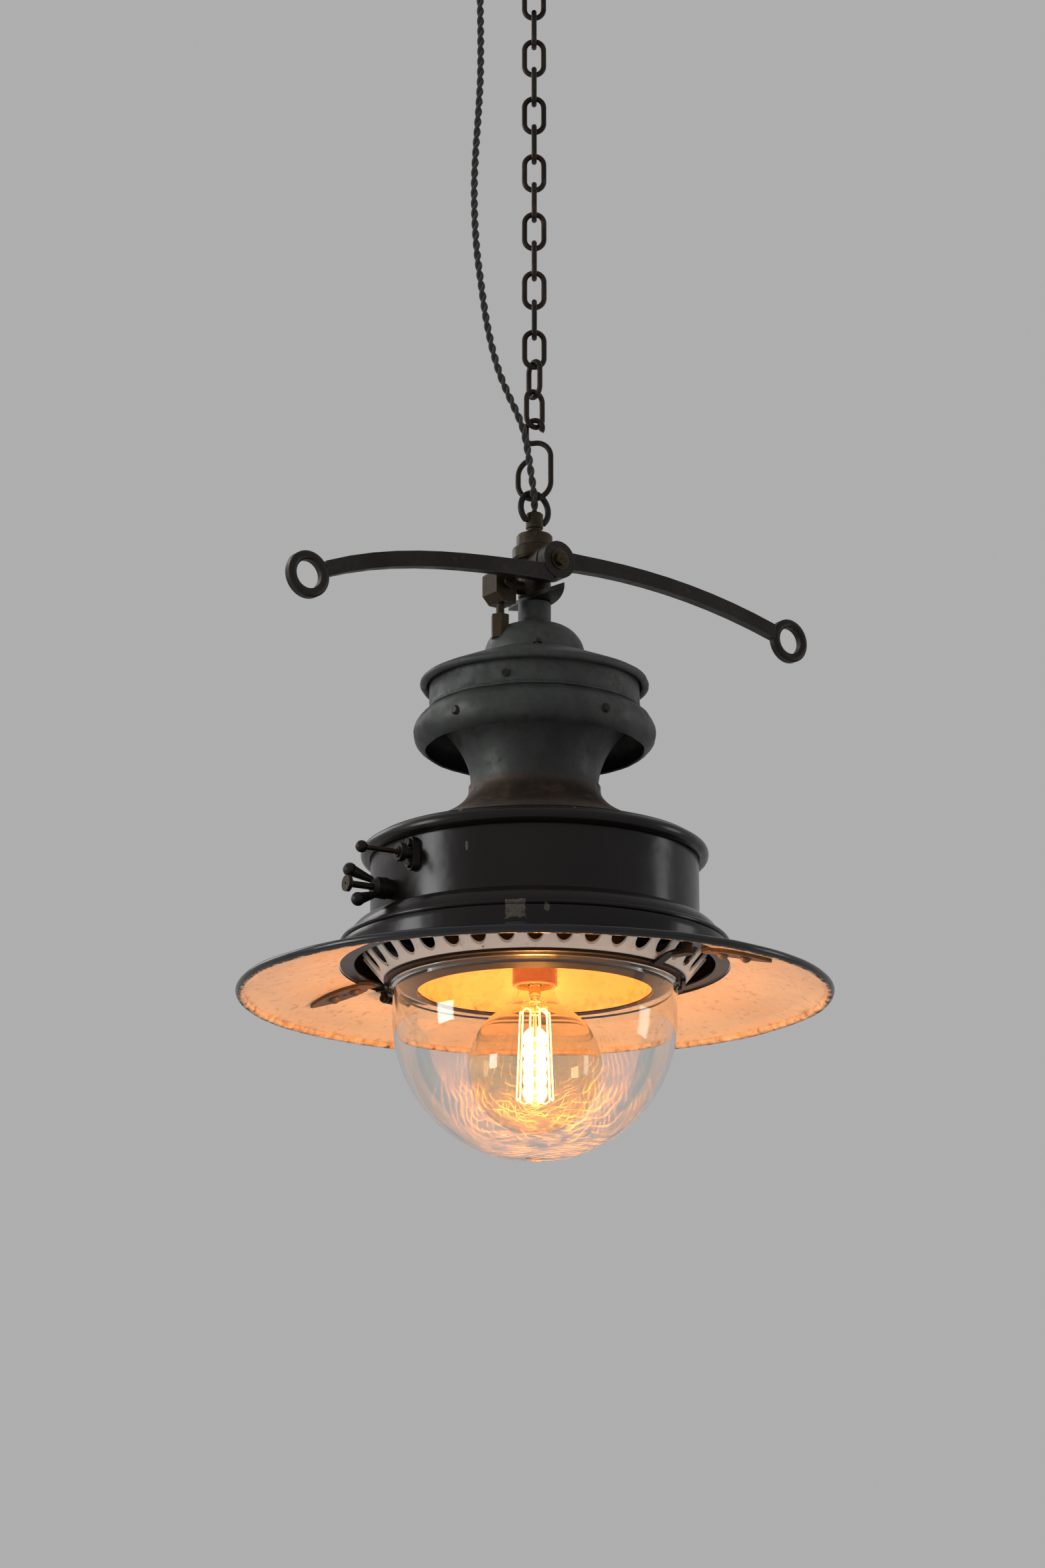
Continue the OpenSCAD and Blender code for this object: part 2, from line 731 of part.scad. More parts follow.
// a screw whose head stands on its seat: head size and height, shank radius and length, slot's turn
module slot_screw(head, h, shank, len, turn) {
  difference() {
    union() {
      cylinder(h = h, d = head);
      translate([0, 0, -len])
        cylinder(h = len + h / 2, r = shank);
    }
    rotate([0, 0, turn])
      translate([-head, -0.45, h - 0.9])
        cube([2 * head, 0.9, 2]);
  }
}
module chimney_lid() {
  rb = lid_rim_r;
  skirt = skirt_r - tin;
  color([0.16, 0.17, 0.16])
    translate([0, 0, lift])
      difference() {
        turned(concat([[26, -601.1], [38, -601.1], [rb - 1.2, -618]], arc(rb, -622, 3, 88, -210, 14),
          [[rb - 2.4, lid_under(rb - 2.4)], [skirt_r, lid_under(skirt_r)], [skirt_r, neck_screw_z - 4],
          [skirt, neck_screw_z - 4], [skirt, lid_under(skirt)], [38, -602.4], [26, -602.4]]));
        for (a = neck_az)
          rotate([0, 0, a])
            bar([60, 0, neck_screw_z], [80, 0, neck_screw_z], 1.5 + fit_gap, 1.5 + fit_gap);
        for (a = cap_az)
          rotate([0, 0, a]) {
            translate([42, 0, -612])
              cylinder(h = 14, r = 1.8 + fit_gap);
            translate([42, 0, -602.2 - seat_gap])
              cylinder(h = 4, r = 3.4);
            translate([42, 0, -609])
              cylinder(h = 3.2 + seat_gap, r = 4);
          }
      }
}
stay_az = [-166.87, -91.87, 53.13];
module chimney_cowl() {
  r = neck_r;
  // a swaged bead parts the neck from the bulge
  outer = concat([[r, cowl_top], [r, -640.4], [r + 0.9, -641.4], [r + 0.9, -642.8], [r, -643.6]],
    arc(r - 3.6, -658.5, bulge_r + tin / 2, 70, -65, 14));
  inner = concat([[r - tin, cowl_top], [r - tin, -643.4]],
    arc(r - 3.6, -658.5, bulge_r - tin / 2, 72, -65, 14));
  color([0.17, 0.18, 0.16])
    translate([0, 0, lift])
      difference() {
        turned(concat(outer, back(inner)));
        for (a = stay_az)
          rotate([0, 0, a])
            bar([80, 0, -660], [100, 0, -660], 1.6 + fit_gap, 1.6 + fit_gap);
        for (a = neck_az)
          rotate([0, 0, a])
            bar([70, 0, neck_screw_z], [90, 0, neck_screw_z], 1.5 + fit_gap, 1.5 + fit_gap);
      }
}
function waist_rad(z) = waist_r + 0.01176 * pow(max(0, z + 697), 2);
module cowl_stays() {
  c = neck_r - 3.8;
  ro = c + sqrt(pow(bulge_r + tin / 2, 2) - 2.25);
  rw = waist_rad(-661) + 0.75 + seat_gap + 0.1;
  color([0.20, 0.19, 0.16])
    translate([0, 0, lift])
      for (a = stay_az)
        rotate([0, 0, a])
          difference() {
            union() {
              bar([58, 0, -660], [ro - tin - 0.6, 0, -660], 3, 3);
              bar([ro - tin - 1, 0, -660], [ro + 1, 0, -660], 1.6, 1.6);
              bar([ro + 0.25, 0, -660], [ro + 2, 0, -660], 3.6, 2.2);
            }
            translate([0, 0, -671])
              cylinder(h = 20, r1 = rw - 8.9, r2 = rw + 8.9, $fn = 128);
          }
}
module chimney_waist() {
  zs = [-697, -690, -684, -678, -672, -666, -661, -657, -653];
  color([0.15, 0.15, 0.14])
    translate([0, 0, lift])
      turned(concat([[waist_r + 0.75, blid_z + seat_gap]], [for (z = zs) [waist_rad(z) + 0.75, z]],
        [for (z = back(zs)) [waist_rad(z) - 0.75, z]], [[waist_r - 0.75, blid_z + seat_gap]]));
}
module chimney_flare() {
  hs = [0, 4, 8, 12, 16, 20, 23];
  r = waist_r + 0.75 + seat_gap + 0.1 + tin;
  foot = body_lid_top(flare_r) + seat_gap;
  color([0.24, 0.17, 0.11])
    translate([0, 0, lift])
      turned(concat([[r, -699]], [for (h = hs) [r + 0.04 * h * h, -701 - h]],
        [[flare_r - 0.8, foot + 4.2], [flare_r, foot + 2.5], [flare_r, foot], [flare_r - 1.2, foot + 0.3],
        [flare_r - 1.2, foot + 2.1], [flare_r - 2.2, foot + 3.4]],
        [for (h = back(hs)) [r + 0.04 * h * h - tin, -701.6 - h]], [[r - tin, -699]]));
}
module body_lid() {
  rb = drum_r + 2.1;
  zc = lid_bead_z;
  rk = drum_r - sheet - fit_gap;
  color([0.11, 0.09, 0.08])
    translate([0, 0, lift]) {
      turned(concat([[40, blid_z], [46.5, blid_z], [rb - 2.6, blid_z - 17]],
        arc(rb, zc, bead_d / 2, 96, -130, 16), back(arc(rb, zc, bead_d / 2 - 1.4, 96, -130, 16)),
        [[rb - 2.4, blid_z - 18.9], [rk, blid_z - 18.4], [rk, drum_top - 3.4],
        [rk - 1.4, drum_top - 3.4], [rk - 1.4, blid_z - 18], [46.5, blid_z - 1.6], [40, blid_z - 1.6]]));
    }
}
module along_lower() {
  rotate([0, 0, reg_az])
    translate([0, 0, low_z])
      rotate([0, 90, 0])
        children();
}
// the upper regulator stands on the wall at up_foot and points as the lower one
module along_upper() {
  translate([drum_r * cos(up_foot), drum_r * sin(up_foot), up_z])
    rotate([0, 0, reg_az])
      rotate([0, 90, 0])
        children();
}
module body_drum() {
  color([0.10, 0.085, 0.08])
    translate([0, 0, lift])
      difference() {
        tube(drum_r, drum_r - sheet, shoulder_z + seat_gap, drum_top);
        along_lower()
          cylinder(h = 140, r = 2.4 + turn_gap);
        along_upper()
          translate([0, 0, -20])
            cylinder(h = 40, r = 2.4 + turn_gap);
        along_upper()
          for (s = [-1, 1])
            translate([s * up_ear, 0, -20])
              cylinder(h = 40, r = 1.6 + fit_gap);
      }
}
module body_shoulder() {
  color([0.11, 0.09, 0.08])
    translate([0, 0, lift])
      turned(concat([[108, shoulder_z]], arc(116.6, shoulder_z - 17.5, 17.5, 90, 12, 9),
        arc(band_r - 1.6, -815.6, 2.2, 110, -60, 8),
        [[band_r, -818.4], [band_r, -830.5], [128.5, -830.5], [128.5, -829], [band_r - sheet, -829],
        [band_r - sheet, -818.6]], back(arc(116.6, shoulder_z - 17.5, 16, 90, 6, 10)),
        [[108, shoulder_z - 1.5]]));
}
module conduit() {
  color([0.28, 0.27, 0.25])
    translate([0, 0, lift])
      tube(8, 6.5, -796, -570);
}
module conduit_bracket() {
  color([0.20, 0.19, 0.18])
    translate([0, 0, lift])
      difference() {
        union() {
          tube(13, 8 + fit_gap, -775, -758);
          for (a = [30, 150, 270])
            rotate([0, 0, a]) {
              translate([11, -7, -764])
                cube([drum_r - sheet - 13, 14, 3]);
              translate([drum_r - sheet - 4, -7, -776])
                cube([3, 14, 15]);
            }
        }
        tube(200, drum_r - sheet - seat_gap, -800, -740);
      }
}
module reflector() {
  top = [[16.2, -799.1], [30, -799.1], [48, -804.6], [62, -813.4], [72.6, -825], [80, -837], [84, -847]];
  color([0.86, 0.80, 0.66])
    translate([0, 0, lift])
      turned(concat(top, [[83, -847.2], [79, -837.5], [71.7, -825.7], [61.3, -814.3],
        [47.5, -805.6], [29.8, -800.1], [16.2, -800.1]]));
}
module lampholder() {
  r = holder_d / 2;
  color([0.10, 0.10, 0.10])
    translate([0, 0, lift])
      turned([[8 + fit_gap, -786], [11, -786], [11, -795], [20, -796.4], [20, -799], [r, -799], [r, -806.5],
        [r, -844.5], [r - 0.8, -845.5], [13.7, -845.5], [13.7, -812], [3.6, -812], [3.6, -796.2],
        [8 + fit_gap, -796.2]]);
}
module holder_ring() {
  color([0.12, 0.12, 0.12])
    translate([0, 0, lift])
      difference() {
        tube(22, holder_d / 2 + fit_gap, -806, -800.2);
        for (a = [0:30:330])
          rotate([0, 0, a])
            translate([23, 0, -807])
              cylinder(h = 8, r = 2);
      }
}
module bulb_cap() {
  color([0.50, 0.40, 0.20])
    translate([0, 0, lift])
      turned(concat([[0, -812.4], [4, -812.4], [5, -815], [10, -817], [13.2, -818], [13.2, -821]],
        [for (k = [0:8]) [13.2 - (k % 2 == 0 ? 0.3 : 0), -822.2 - 1.2 * k]],
        [[13.2, -844], [12.8, -844], [12.5, -830], [12.5, -819], [9.8, -818], [0, -817]]));
}
module bulb_glass() {
  rb = bulb_d / 2;
  zb = -855.7 - rb;
  zt = zb + sqrt(rb * rb - 225);
  color([0.95, 0.85, 0.6, 0.4])
    translate([0, 0, lift])
      rotate_extrude($fn = 128)
        difference() {
          union() {
            intersection() {
              translate([0, zb])
                circle(r = rb, $fn = 128);
              translate([0, zb - rb - 1])
                square([rb + 1, 2 * rb + 2]);
            }
            polygon([[0, zt - 1], [15.6, zt - 1], [14, -850], [13.4, -845.5], [12.3, -844.2],
              [12.3, -838], [0, -838]]);
          }
          intersection() {
            translate([0, zb])
              circle(r = rb - 0.8, $fn = 128);
            translate([0, zb - rb - 1])
              square([rb + 1, 2 * rb + 2]);
          }
          polygon([[0, zt - 4], [15, zt - 2.4], [13.2, -850], [12.6, -846], [11.6, -844.6],
            [11.6, -837], [0, -837]]);
        }
}
module bulb_stem() {
  color([0.8, 0.8, 0.8, 0.5])
    translate([0, 0, lift]) {
      turned([[0, -838.5], [11.4, -838.5], [11.4, -840], [5, -844], [4, -852], [2.4, -856],
        [1.3, -858], [1.3, -927], [2.4, -928], [2.4, -930], [0, -931]]);
    }
}
module filament() {
  n = 10;
  rt = cage_d / 2 * 0.7;
  rb = cage_d / 2 * 0.86;
  w = fil_d / 2;
  color([1, 0.6, 0.2])
    translate([0, 0, lift]) {
      for (k = [0:n - 1])
        rotate([0, 0, 360 * k / n]) {
          bar([rt, 0, -864], [rb, 0, -926], w, w);
          // the turn to the next wire, below for even ones and above for odd ones
          z = k % 2 == 0 ? -926 : -864;
          f = k % 2 == 0 ? rb : rt;
          bar([f, -w, z], [f * cos(360 / n) + w * 0.6, f * sin(360 / n) + w * 0.8, z], w * 1.4, w * 1.4);
        }
      for (k = [0, 5])
        rotate([0, 0, 360 * k / n])
          bar([1.5, 0, -859], [rt, 0, -864], w * 1.2, w * 1.2);
    }
}
module shade() {
  rr = shade_d / 2 - rim_d / 2;
  rs = [139, 150, 162, 174, 186, 198];
  color([0.13, 0.12, 0.13])
    translate([0, 0, lift])
      difference() {
        turned(concat([for (r = rs) [r, shade_z(r)]],
          arc(rr, shade_z(rr) - rim_d / 2 + 0.4, rim_d / 2, 105, -190, 14),
          [for (r = back(rs)) [r, shade_z(r) - sheet]]));
        for (a = strap_az)
          for (r = strap_holes)
            on_shade(r, a)
              translate([0, 0, -15])
                cylinder(h = 30, r = 1.8 + fit_gap);
      }
}
strap_az = [118, 298];
strap_holes = [145, 153.5, 162];
module shade_straps() {
  rs = [139.6, 150, 162, 174, 180];
  // the strap steps down to the shade's lower face before its inner edge
  step = shade_z(139.6) - sheet - seat_gap - 0.06;
  // radius of the strap's curved sides, which would meet 28.5 from its middle
  edge = (pow(28.5, 2) + pow(strap_w / 2, 2)) / strap_w;
  u = concat([[138.7, step]], [for (r = rs) [r, shade_z(r) - sheet - seat_gap - 0.06]]);
  color([0.25, 0.19, 0.13])
    translate([0, 0, lift])
      difference() {
        intersection() {
          turned(concat([[129.2, -830.6], [137.2, -830.6]], u, back(shift(u, 0, -strap_t)),
            [[137.2, -830.6 - strap_t], [129.2, -830.6 - strap_t]]));
          for (a = strap_az)
            rotate([0, 0, a])
              translate([0, 0, -860])
                linear_extrude(height = 40)
                  intersection() {
                    translate([153, strap_w / 2 - edge])
                      circle(r = edge, $fn = 128);
                    translate([153, edge - strap_w / 2])
                      circle(r = edge, $fn = 128);
                  }
        }
        for (a = strap_az)
          for (r = strap_holes)
            on_shade(r, a)
              translate([0, 0, -15])
                cylinder(h = 30, r = 1.8 + fit_gap);
      }
}
module strap_rivets() {
  // from the shade's upper face down through the strap
  grip = sheet + strap_t + 2 * seat_gap + 0.15;
  color([0.28, 0.22, 0.16])
    translate([0, 0, lift])
      for (a = strap_az)
        for (r = [strap_holes[0], strap_holes[2]])
          on_shade(r, a) {
            translate([0, 0, -grip - 1])
              cylinder(h = grip + 1.2, r = 1.8);
            translate([0, 0, -grip - 0.15])
              intersection() {
                translate([0, 0, 1])
                  sphere(r = 4.2);
                translate([0, 0, -5])
                  cylinder(h = 5, r = 5);
              }
          }
}
module shade_bolts() {
  color([0.20, 0.17, 0.14])
    translate([0, 0, lift])
      for (a = strap_az)
        on_shade(strap_holes[1], a) {
          translate([0, 0, -sheet - strap_t])
            cylinder(h = sheet + strap_t + 2, r = 1.8);
          translate([0, 0, seat_gap + 0.1])
            cylinder(h = 1, d = 11);
          translate([0, 0, seat_gap + 1])
            cylinder(h = 3.5, d = 9.2, $fn = 6);
        }
}
module hinge_bracket() {
  color([0.18, 0.16, 0.14])
    translate([0, 0, lift])
      difference() {
        at_door(0, 0)
          union() {
            translate([129, -12, -832.6])
              cube([9, 24, 2]);
            for (s = [-1, 1])
              translate([129, s * 8 - 1.25, pin_z])
                cube([6.6, 2.5, 6]);
            for (s = [-1, 1])
              translate([pin_r, s * 8 + 1.25, pin_z])
                rotate([90, 0, 0])
                  cylinder(h = 2.5, r = 3.2);
          }
        at_door(pin_r, pin_z)
          rotate([90, 0, 0])
            translate([0, 0, -20])
              cylinder(h = 40, r = 1.5 + fit_gap);
      }
}
module hinge_pin() {
  color([0.40, 0.36, 0.28])
    translate([0, 0, lift])
      at_door(pin_r, pin_z)
        rotate([90, 0, 0])
          translate([0, 0, -10.5]) {
            cylinder(h = 21, r = 1.5);
            translate([0, 0, -1])
              cylinder(h = 1.6, r = 2.6);
          }
}
module regulator_bosses() {
  color([0.14, 0.12, 0.11])
    translate([0, 0, lift])
      difference() {
        union() {
          along_lower() {
            translate([0, 0, drum_r - 4])
              cylinder(h = low_boss + 4, r = 7);
            translate([0, 0, drum_r + low_boss - 4.5])
              cylinder(h = 4.5, r = 7.8);
          }
        }
        translate([0, 0, -800])
          cylinder(h = 60, r = drum_r + seat_gap, $fn = 128);
        along_lower()
          cylinder(h = 160, r = 2.4 + turn_gap);
      }
}
// a wing nut along +Z from its seat, wings in the XZ plane
module wing() {
  difference() {
    union() {
      cylinder(h = 4, d = wing_d);
      translate([0, 0, 4])
        cylinder(h = 2.4, r1 = wing_d / 2, r2 = 4.6);
      for (s = [-1, 1]) {
        bar([s * 5.4, 0, 2.2], [s * 13.4, 0, wing_reach], 1.9, ball_d / 2 - 0.5);
        translate([s * 13.4, 0, wing_reach])
          sphere(d = ball_d);
      }
    }
    translate([0, 0, -1])
      cylinder(h = 9, r = 2.4 + fit_gap);
  }
}
// its screw: a long shank and a flat head with a centre mark
module wing_screw(inner) {
  difference() {
    union() {
      translate([0, 0, -inner])
        cylinder(h = inner + 25, r = 2.4);
      translate([0, 0, 24.2])
        cylinder(h = 3, d = 11.4);
    }
    translate([0, 0, 26.2])
      cylinder(h = 3, r = 1);
  }
}
low_seat = drum_r + low_boss + seat_gap;
module lower_wing() {
  color([0.16, 0.13, 0.11])
    translate([0, 0, lift])
      along_lower()
        translate([0, 0, low_seat])
          rotate([0, 0, 28])
            wing();
}
module lower_screw() {
  color([0.30, 0.25, 0.16])
    translate([0, 0, lift])
      along_lower()
        translate([0, 0, low_seat])
          rotate([0, 0, 15])
            wing_screw(17);
}
// the upper regulator's boss, with an ear above and below that a screw holds to the drum
module upper_wing() {
  color([0.15, 0.13, 0.11])
    translate([0, 0, lift])
      difference() {
        along_upper() {
          translate([0, 0, -6])
            cylinder(h = up_boss + 6, r = 3.9);
          translate([0, 0, up_boss - 5.6])
            cylinder(h = 4.4, r = 6.5);
          translate([-up_ear, -4.6, -6])
            cube([2 * up_ear, 9.2, up_ear_t + 6]);
          for (s = [-1, 1])
            translate([s * up_ear, 0, -6])
              cylinder(h = up_ear_t + 6, r = 4.6);
        }
        translate([0, 0, -800])
          cylinder(h = 80, r = drum_r + seat_gap, $fn = 128);
        along_upper() {
          translate([0, 0, -20])
            cylinder(h = 60, r = 2.4 + turn_gap);
          for (s = [-1, 1])
            translate([s * up_ear, 0, -20])
              cylinder(h = 40, r = 1.6 + fit_gap);
        }
      }
}
// a ball-ended spindle that screws through the boss
module upper_screw() {
  color([0.20, 0.17, 0.12])
    translate([0, 0, lift])
      along_upper() {
        translate([0, 0, -6])
          cylinder(h = up_boss + 7, r = 2.4);
        translate([0, 0, up_boss])
          cylinder(h = up_arm, r = 1.8);
        translate([0, 0, up_boss + up_arm])
          sphere(d = up_ball);
      }
}
module slotted_ring() {
  ro = gallery_d / 2;
  color([0.90, 0.89, 0.86])
    translate([0, 0, lift])
      difference() {
        turned([[ro, gallery_top], [107.5, -839.5], [104, -839.5], [104, -840.7], [108.2, -840.7],
          [ro + 1, gallery_top - 0.8]]);
        for (i = [0:slots - 1])
          rotate([0, 0, side_az + i * 360 / slots]) {
            translate([ro - slot_depth + slot_w / 2, 0, -850])
              cylinder(h = 30, d = slot_w);
            translate([ro - slot_depth + slot_w / 2, -slot_w / 2, -850])
              cube([20, slot_w, 30]);
          }
      }
}
module globe_ring() {
  color([0.06, 0.05, 0.05])
    translate([0, 0, lift])
      difference() {
        union() {
          turned([[107.3, -840.8], [103, -840.8], [83.7, -848], [83.7, -850], [103, -842.8],
            [107.3, -842.8]]);
          at_door(0, 0) {
            translate([0, 4.5, 0])
              rotate([90, 0, 0])
                linear_extrude(height = 9)
                  polygon([[104, -841], [107.4, -841], [pin_r, -836.6], [pin_r, pin_z - 1.6],
                    [107, -844], [104, -843]]);
            translate([pin_r, 4.8, pin_z])
              rotate([90, 0, 0])
                cylinder(h = 9.6, r = 3);
            translate([0, 4, 0])
              rotate([90, 0, 0])
                linear_extrude(height = 8)
                  polygon([[-104, -841], [-107.4, -841], [-118, -836.9], [-127.4, -835.4],
                    [-127.4, -837.8], [-119, -837.8], [-107, -844], [-104, -843]]);
          }
        }
        at_door(pin_r, pin_z)
          rotate([90, 0, 0])
            translate([0, 0, -20])
              cylinder(h = 40, r = 1.5 + turn_gap);
      }
}
module globe_glass() {
  r = glass_d / 2;
  zc = -868.5;
  color([0.8, 0.85, 0.85, 0.3])
    translate([0, 0, lift])
      turned(concat([[r - glass_t, -844.7], [r + 2, -844.7], [r + 2, -847.6], [r, -849.4]],
        arc(0, zc, r, 0, -87, 24), [[4.4, zc - r - 0.3], [2.6, zc - r - 1], [0, zc - r - 1.3],
        [0, zc - r + glass_t]], back(arc(0, zc, r - glass_t, 0, -86, 24))));
}
module globe_clips() {
  r = glass_d / 2 + 2;
  color([0.20, 0.18, 0.15])
    translate([0, 0, lift])
      for (a = [140, 50, 318])
        rotate([0, 0, a])
          difference() {
            translate([0, 5, 0])
              rotate([90, 0, 0])
                linear_extrude(height = 10)
                  polygon([[107, -842.9], [r + 0.3, -842.9], [r + 0.3, -847.9], [r - 1.6, -849.4],
                    [r - 1.6, -850.8], [r + 1.6, -850], [r + 1.6, -844.4], [107, -844.4]]);
          }
}
module globe_catch() {
  color([0.18, 0.16, 0.14])
    translate([0, 0, lift])
      at_door(-catch_r, 0) {
        translate([0, 0, -838.1])
          cylinder(h = 7.5, r = 3.6);
        translate([0, 0, -840])
          linear_extrude(height = 1.9)
            union() {
              circle(r = 4);
              translate([0, -4])
                square([9, 8]);
              translate([9, 0])
                circle(r = 4);
            }
      }
}

ceiling_plate();
ceiling_screws();
ceiling_hook();
hook_nut();
cord_grip();
cord_grip_nut();
top_link();
chain_links();
s_hook();
flex();
bail();
inlet_nipple();
inner_flex();
cock_body();
stop_plate();
cock_plug();
lever();
lever_screw();
plug_nut();
bypass_block();
bypass_screw();
bypass_pipe();
bypass_nut();
stem_tube();
stem_locknut();
chimney_cap();
cap_screws();
chimney_lid();
chimney_cowl();
cowl_stays();
chimney_waist();
chimney_flare();
body_lid();
body_drum();
body_shoulder();
conduit();
conduit_bracket();
reflector();
lampholder();
holder_ring();
bulb_cap();
bulb_glass();
bulb_stem();
filament();
shade();
shade_straps();
strap_rivets();
shade_bolts();
hinge_bracket();
hinge_pin();
regulator_bosses();
lower_wing();
lower_screw();
upper_wing();
upper_screw();
slotted_ring();
globe_ring();
globe_glass();
globe_clips();
globe_catch();
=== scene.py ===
import math

import bmesh
import bpy
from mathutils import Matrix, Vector, noise


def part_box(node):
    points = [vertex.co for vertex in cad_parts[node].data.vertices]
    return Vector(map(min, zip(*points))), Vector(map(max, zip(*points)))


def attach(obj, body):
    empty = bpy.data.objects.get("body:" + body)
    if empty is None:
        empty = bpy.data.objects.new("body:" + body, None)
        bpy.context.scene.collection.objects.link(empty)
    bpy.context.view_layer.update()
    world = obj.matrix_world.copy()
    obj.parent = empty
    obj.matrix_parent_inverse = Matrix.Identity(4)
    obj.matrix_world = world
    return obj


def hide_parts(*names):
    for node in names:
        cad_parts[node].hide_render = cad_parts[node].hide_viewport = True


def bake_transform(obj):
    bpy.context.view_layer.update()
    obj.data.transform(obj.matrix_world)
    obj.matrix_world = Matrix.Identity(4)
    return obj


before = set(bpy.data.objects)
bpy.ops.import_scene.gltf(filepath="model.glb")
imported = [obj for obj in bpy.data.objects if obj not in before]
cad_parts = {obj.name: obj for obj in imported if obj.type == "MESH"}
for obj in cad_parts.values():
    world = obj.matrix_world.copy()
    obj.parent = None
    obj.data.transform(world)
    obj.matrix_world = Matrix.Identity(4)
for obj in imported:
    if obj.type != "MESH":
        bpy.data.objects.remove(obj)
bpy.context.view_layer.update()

MM = 0.001
# the lamp below the S-hook hangs this much above its drawn heights, in mm
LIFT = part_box("conduit")[1][2] * 1000 + 570
TURN_COS, TURN_SIN = 0.8, 0.6    # of the angle between +X and the picture's left-right direction
SIDE = math.radians(-36.87)      # the same angle, as the camera's turn about Z
U = Vector((TURN_COS, -TURN_SIN, 0.0))     # to the right in the picture
UP = Vector((0, 0, 1))
LOOK_UP = 15.33                  # degrees that the camera looks upwards
CAMERA_AT = (-1.5502, -2.0523, -1.400)
CAMERA_TURN = (math.radians(90 + LOOK_UP), 0, SIDE)
scene = bpy.context.scene

# The camera
cam_data = bpy.data.cameras.new("camera")
cam = bpy.data.objects.new("camera", cam_data)
scene.collection.objects.link(cam)
cam_data.sensor_fit = "VERTICAL"
cam_data.sensor_height = 36.0
cam_data.sensor_width = 24.0
cam_data.lens = 85.0
cam_data.clip_end = 60.0
cam.location = CAMERA_AT
cam.rotation_euler = CAMERA_TURN
scene.camera = cam


# Materials
def faded(color, share):
    return tuple(share * c for c in color)


